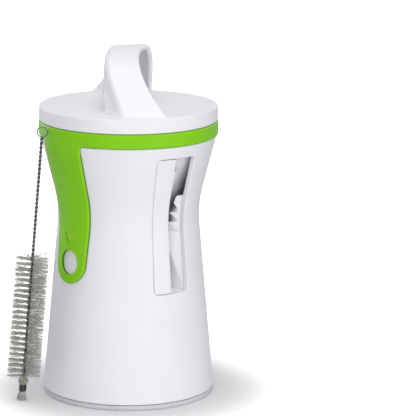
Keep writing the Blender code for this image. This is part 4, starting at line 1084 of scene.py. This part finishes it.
def make_filaments(frame_at):
    """Nylon strands, gripped between the two wires, so that they stand in a double spiral."""
    skin = Skin(frame_at)
    shake = random.Random(FILAMENT_SEED)
    per_metre = STRANDS_PER_METRE
    count = int(BRISTLE_LENGTH * per_metre)
    for number in range(count):
        share = (number + 0.5) / count
        height = BRISTLE_LENGTH * share
        turned = 2 * math.pi * height / BRISTLE_PITCH + shake.gauss(0.0, STRAND_JITTER)
        turned += math.pi * (number % 2)
        # Fewer strands stand to the front and the back, so that the wires stay in sight.
        if shake.random() < STRAND_THINNING * math.sin(turned) ** 2:
            continue
        reach = BRISTLE_RADIUS * shake.uniform(*STRAND_REACH)
        splayed = share > SPLAY_START and number % 4 < 2
        splay = shake.uniform(*SPLAY) if splayed else 0.0
        height += BULB_TOP + shake.gauss(0.0, STRAND_SCATTER)
        way = round_wire(1.0, turned, 0.0)
        end = way * reach + Vector((0.0, 0.0, height + splay + shake.gauss(0.0, STRAND_TIP_SCATTER)))
        start = way * STEM_RADIUS * STRAND_ROOT_SHARE + Vector((0.0, 0.0, height))
        bend = Vector((shake.gauss(0.0, STRAND_BEND), shake.gauss(0.0, STRAND_BEND), 0.0))
        strand(skin, [start, start.lerp(end, 0.5) + bend, end], STRAND_RADII)
    skin.build("filament_whorls", [NYLON], "brush", ["brush_bristles"])


def make_band(frame_at):
    """Fine wire wrapped round a core."""
    skin = Skin(frame_at)
    wound = (TUFT_LENGTH + WRAP_MARGIN, BAND_TOP - WRAP_MARGIN)
    wraps = helix(BAND_RADIUS - WRAP_RADIUS, WRAP_PITCH, *wound, 0.0, WRAP_TURN_STEPS)
    strand(skin, wraps, [WRAP_RADIUS] * len(wraps), WIRE_SIDES)
    radius = BAND_RADIUS - BAND_CORE_INSET
    core = [(0.0, BAND_TOP), (radius, BAND_TOP), (radius, TUFT_LENGTH), (0.0, TUFT_LENGTH)]
    turn(skin, rounded(core), BAND_CORE_FACETS)
    skin.build("wrapped_band", [DARK_WRAP_AND_WIRE_SHADE], "brush", ["brush_ferrule"])


def make_bulb(frame_at, shake):
    """Fibres that swell out between the band and the bristles."""
    skin = Skin(frame_at)
    for _ in range(BULB_FIBRES):
        turned = 2 * math.pi * shake.random()
        depth = math.sqrt(shake.random())
        points = []
        for step in range(BULB_STEPS + 1):
            share = step / BULB_STEPS
            rise = min(1.0, BULB_SWELL_START + BULB_SWELL_SPAN * share)
            radius = BULB_FILL * depth * BULB_RADIUS * math.sin(math.pi * rise) ** FIBRE_CURVE
            height = BAND_TOP + BULB_LENGTH * share
            points.append(round_wire(radius, turned + BULB_TWIST * share, height))
        strand(skin, points, [FIBRE_RADIUS] * len(points))
    skin.build("fibre_bulb", [PALE_FIBRE], "brush")


def make_tuft(frame_at, shake):
    """Fibres that spread downwards from the band, cut a little unevenly."""
    skin = Skin(frame_at)
    root = BAND_RADIUS * TUFT_ROOT_SHARE
    for _ in range(TUFT_FIBRES):
        turned = 2 * math.pi * shake.random()
        depth = math.sqrt(shake.random())
        foot = shake.uniform(0.0, TUFT_UNEVENNESS)
        points = []
        for step in range(TUFT_STEPS + 1):
            share = step / TUFT_STEPS
            radius = depth * (root + (TUFT_RADIUS - TUFT_INSET - root) * share**FIBRE_CURVE)
            points.append(round_wire(radius, turned, TUFT_LENGTH * (1.0 - share) + foot * share))
        strand(skin, points, [FIBRE_RADIUS] * len(points))
    skin.build("tail_tuft", [PALE_FIBRE], "brush", ["brush_tail_tuft"])


def make_brush():
    frame_at = brush_frame()
    make_wire(frame_at)
    make_filaments(frame_at)
    make_band(frame_at)
    shake = random.Random(FOOT_SEED)
    make_bulb(frame_at, shake)
    make_tuft(frame_at, shake)


# Inner parts: smooth copies of the frame's own meshes

BODY_OF = {node: body for body, nodes in frame["record"]["behaviour"]["bodies"].items() for node in nodes}

# Name, material, slot and edge width of the copy of each node
INNER_PARTS = {
    "outlet_guard": ("outlet_chute", WHITE, "white", 0.0),
    "base_plate": ("base_plate_moulding", WHITE, "white", 0.0),
    "drum_cone": ("drum_moulding", WHITE, "white", 0.0),
    "spike_plate": ("spike_plate_moulding", WHITE, "white", 0.0),
    "pivot_bush": ("turned_bush", BRASS, "bush", SOFT_EDGE),
    "detent_spring": ("spring_leaf", STEEL, "steel", 0.0),
    "retainer_washer": ("washer", STEEL, "steel", WASHER_EDGE),
}
STEEL_PARTS = ("blade_", "clamp_screw", "cap_screw", "base_screw", "holding_pin", "retainer_screw")


def sink_under_strip(bm):
    """Draws the insert's outer face in, so that the finished strip covers it."""
    for corner in bm.verts:
        radius = math.hypot(corner.co.x, corner.co.y)
        if WINDOW_BOTTOM < corner.co.z < WINDOW_TOP and radius > shell_radius(corner.co.z) - STRIP_COVER:
            corner.co.x *= 1.0 - STRIP_COVER / radius
            corner.co.y *= 1.0 - STRIP_COVER / radius


def polished(node, name, material, slot, edge):
    """Welded copy of a node's mesh in the node's place, with its edges softened where edge isn't 0."""
    source = frame["nodes"][node]
    mesh = source.data.copy()
    made = link(bpy.data.objects.new(name, mesh))
    made.matrix_world = source.matrix_world.copy()
    bm = bmesh.new()
    bm.from_mesh(mesh)
    bmesh.ops.remove_doubles(bm, verts=bm.verts, dist=WELD_DISTANCE)
    if node == "outlet_guard":
        sink_under_strip(bm)
    bm.to_mesh(mesh)
    bm.free()
    mesh.materials.clear()
    mesh.materials.append(material)
    mesh.shade_smooth()
    mesh.set_sharp_from_angle(angle=math.radians(SHARP_ANGLE))
    if edge:
        bevel = made.modifiers.new("soft_edges", "BEVEL")
        bevel.width = edge
        bevel.segments = 2
        bevel.limit_method = "ANGLE"
        bevel.angle_limit = math.radians(BEVEL_ANGLE)
    fitted(made, BODY_OF[node], [node])


def dress_inner_parts():
    for node, look in INNER_PARTS.items():
        polished(node, *look)
    for node in frame["nodes"]:
        if node.startswith("blade_clamp"):
            polished(node, node + "_moulding", WHITE, "white", SOFT_EDGE)
        elif node.startswith(STEEL_PARTS):
            polished(node, node + "_finished", STEEL, "steel", 0.0)


# Floor, world, lamps and camera


def make_floor():
    bpy.ops.mesh.primitive_plane_add(size=FLOOR_SIZE, location=(0.0, 0.0, 0.0))
    floor = bpy.context.active_object
    floor.name = "floor"
    material, tree, shader = new_material("pale_floor_with_painted_shadow")
    shader.inputs["Base Color"].default_value = FLOOR_COLOUR
    shader.inputs["Roughness"].default_value = FLOOR_ROUGHNESS
    light_path = add_node(tree, "ShaderNodeLightPath")
    place = add_node(tree, "ShaderNodeNewGeometry")
    distance = add_node(tree, "ShaderNodeVectorMath", {"operation": "LENGTH"})
    tree.links.new(place.outputs["Position"], distance.inputs[0])
    # Camera-only glow by distance from the axis: faint near it as a painted shadow round the object, white
    # further out
    edges = {"From Min": SHADOW_POOL_START, "From Max": SHADOW_POOL_END, "To Min": SHADOW_POOL_GLOW, "To Max": GLOW_FAR}
    glow_with_shadow_pool = add_node(tree, "ShaderNodeMapRange", {"interpolation_type": "SMOOTHSTEP"}, edges)
    tree.links.new(distance.outputs["Value"], glow_with_shadow_pool.inputs["Value"])
    strength = add_node(tree, "ShaderNodeMath", {"operation": "MULTIPLY"})
    tree.links.new(light_path.outputs["Is Camera Ray"], strength.inputs[0])
    tree.links.new(glow_with_shadow_pool.outputs["Result"], strength.inputs[1])
    shader.inputs["Emission Color"].default_value = PURE_WHITE
    tree.links.new(strength.outputs[0], shader.inputs["Emission Strength"])
    floor.data.materials.append(material)


def make_world():
    """A dim studio, which the camera, gloss and clear materials see as white."""
    world = bpy.data.worlds.new("studio")
    bpy.context.scene.world = world
    world.use_nodes = True
    tree = world.node_tree
    background = tree.nodes["Background"]
    light_path = add_node(tree, "ShaderNodeLightPath")
    seen = light_path.outputs["Is Camera Ray"]
    for kind in ("Is Glossy Ray", "Is Transmission Ray"):
        either = add_node(tree, "ShaderNodeMath", {"operation": "ADD"})
        tree.links.new(seen, either.inputs[0])
        tree.links.new(light_path.outputs[kind], either.inputs[1])
        seen = either.outputs[0]
    strength = add_node(tree, "ShaderNodeMapRange", inputs={"To Min": WORLD_STRENGTH, "To Max": 1.0})
    tree.links.new(seen, strength.inputs["Value"])
    tree.links.new(strength.outputs["Result"], background.inputs["Strength"])
    tint = add_node(tree, "ShaderNodeMix", {"data_type": "RGBA"})
    tree.links.new(seen, tint.inputs["Factor"])
    tint.inputs[MIX_FIRST].default_value = WORLD_TINT
    tint.inputs[MIX_SECOND].default_value = PURE_WHITE
    tree.links.new(tint.outputs[MIX_RESULT], background.inputs["Color"])


def add_lamp(name, place, target, size, power, colour, in_gloss=True):
    data = bpy.data.lights.new(name, "AREA")
    data.shape = "RECTANGLE"
    data.size = size
    data.size_y = size
    data.energy = power
    data.color = colour
    lamp = link(bpy.data.objects.new(name, data))
    lamp.location = place
    lamp.rotation_mode = "QUATERNION"
    lamp.rotation_quaternion = (Vector(target) - Vector(place)).to_track_quat("-Z", "Y")
    lamp.visible_glossy = in_gloss


def make_lamps():
    for name, azimuth, height, size, power, colour, in_gloss in LAMPS:
        x, y = on_azimuth(LAMP_DISTANCE, azimuth)
        add_lamp(name, (x, y, height), LAMP_TARGET, size, power, colour, in_gloss)
    add_lamp(*OVERHEAD_LAMP)


def make_camera():
    data = bpy.data.cameras.new("camera")
    data.sensor_width = CAMERA_SENSOR
    data.lens = CAMERA_LENS
    camera = link(bpy.data.objects.new("camera", data))
    pitch, yaw, roll = map(math.radians, CAMERA_ANGLES)
    forward = Vector((math.sin(yaw) * math.cos(pitch), math.cos(yaw) * math.cos(pitch), -math.sin(pitch)))
    level = Vector((math.cos(yaw), -math.sin(yaw), 0.0))
    upward = level.cross(forward)
    right = level * math.cos(roll) + upward * math.sin(roll)
    up = upward * math.cos(roll) - level * math.sin(roll)
    rows = zip(right, up, -forward, CAMERA_PLACE)
    camera.matrix_world = Matrix([*rows, (0.0, 0.0, 0.0, 1.0)])
    bpy.context.scene.camera = camera


def main():
    make_shell()
    make_strip()
    make_pad()
    make_collar()
    make_cap()
    make_handle()
    make_guide_ring()
    make_brush()
    dress_inner_parts()
    make_floor()
    make_world()
    make_lamps()
    make_camera()
    bpy.context.scene.view_settings.view_transform = "Standard"


main()
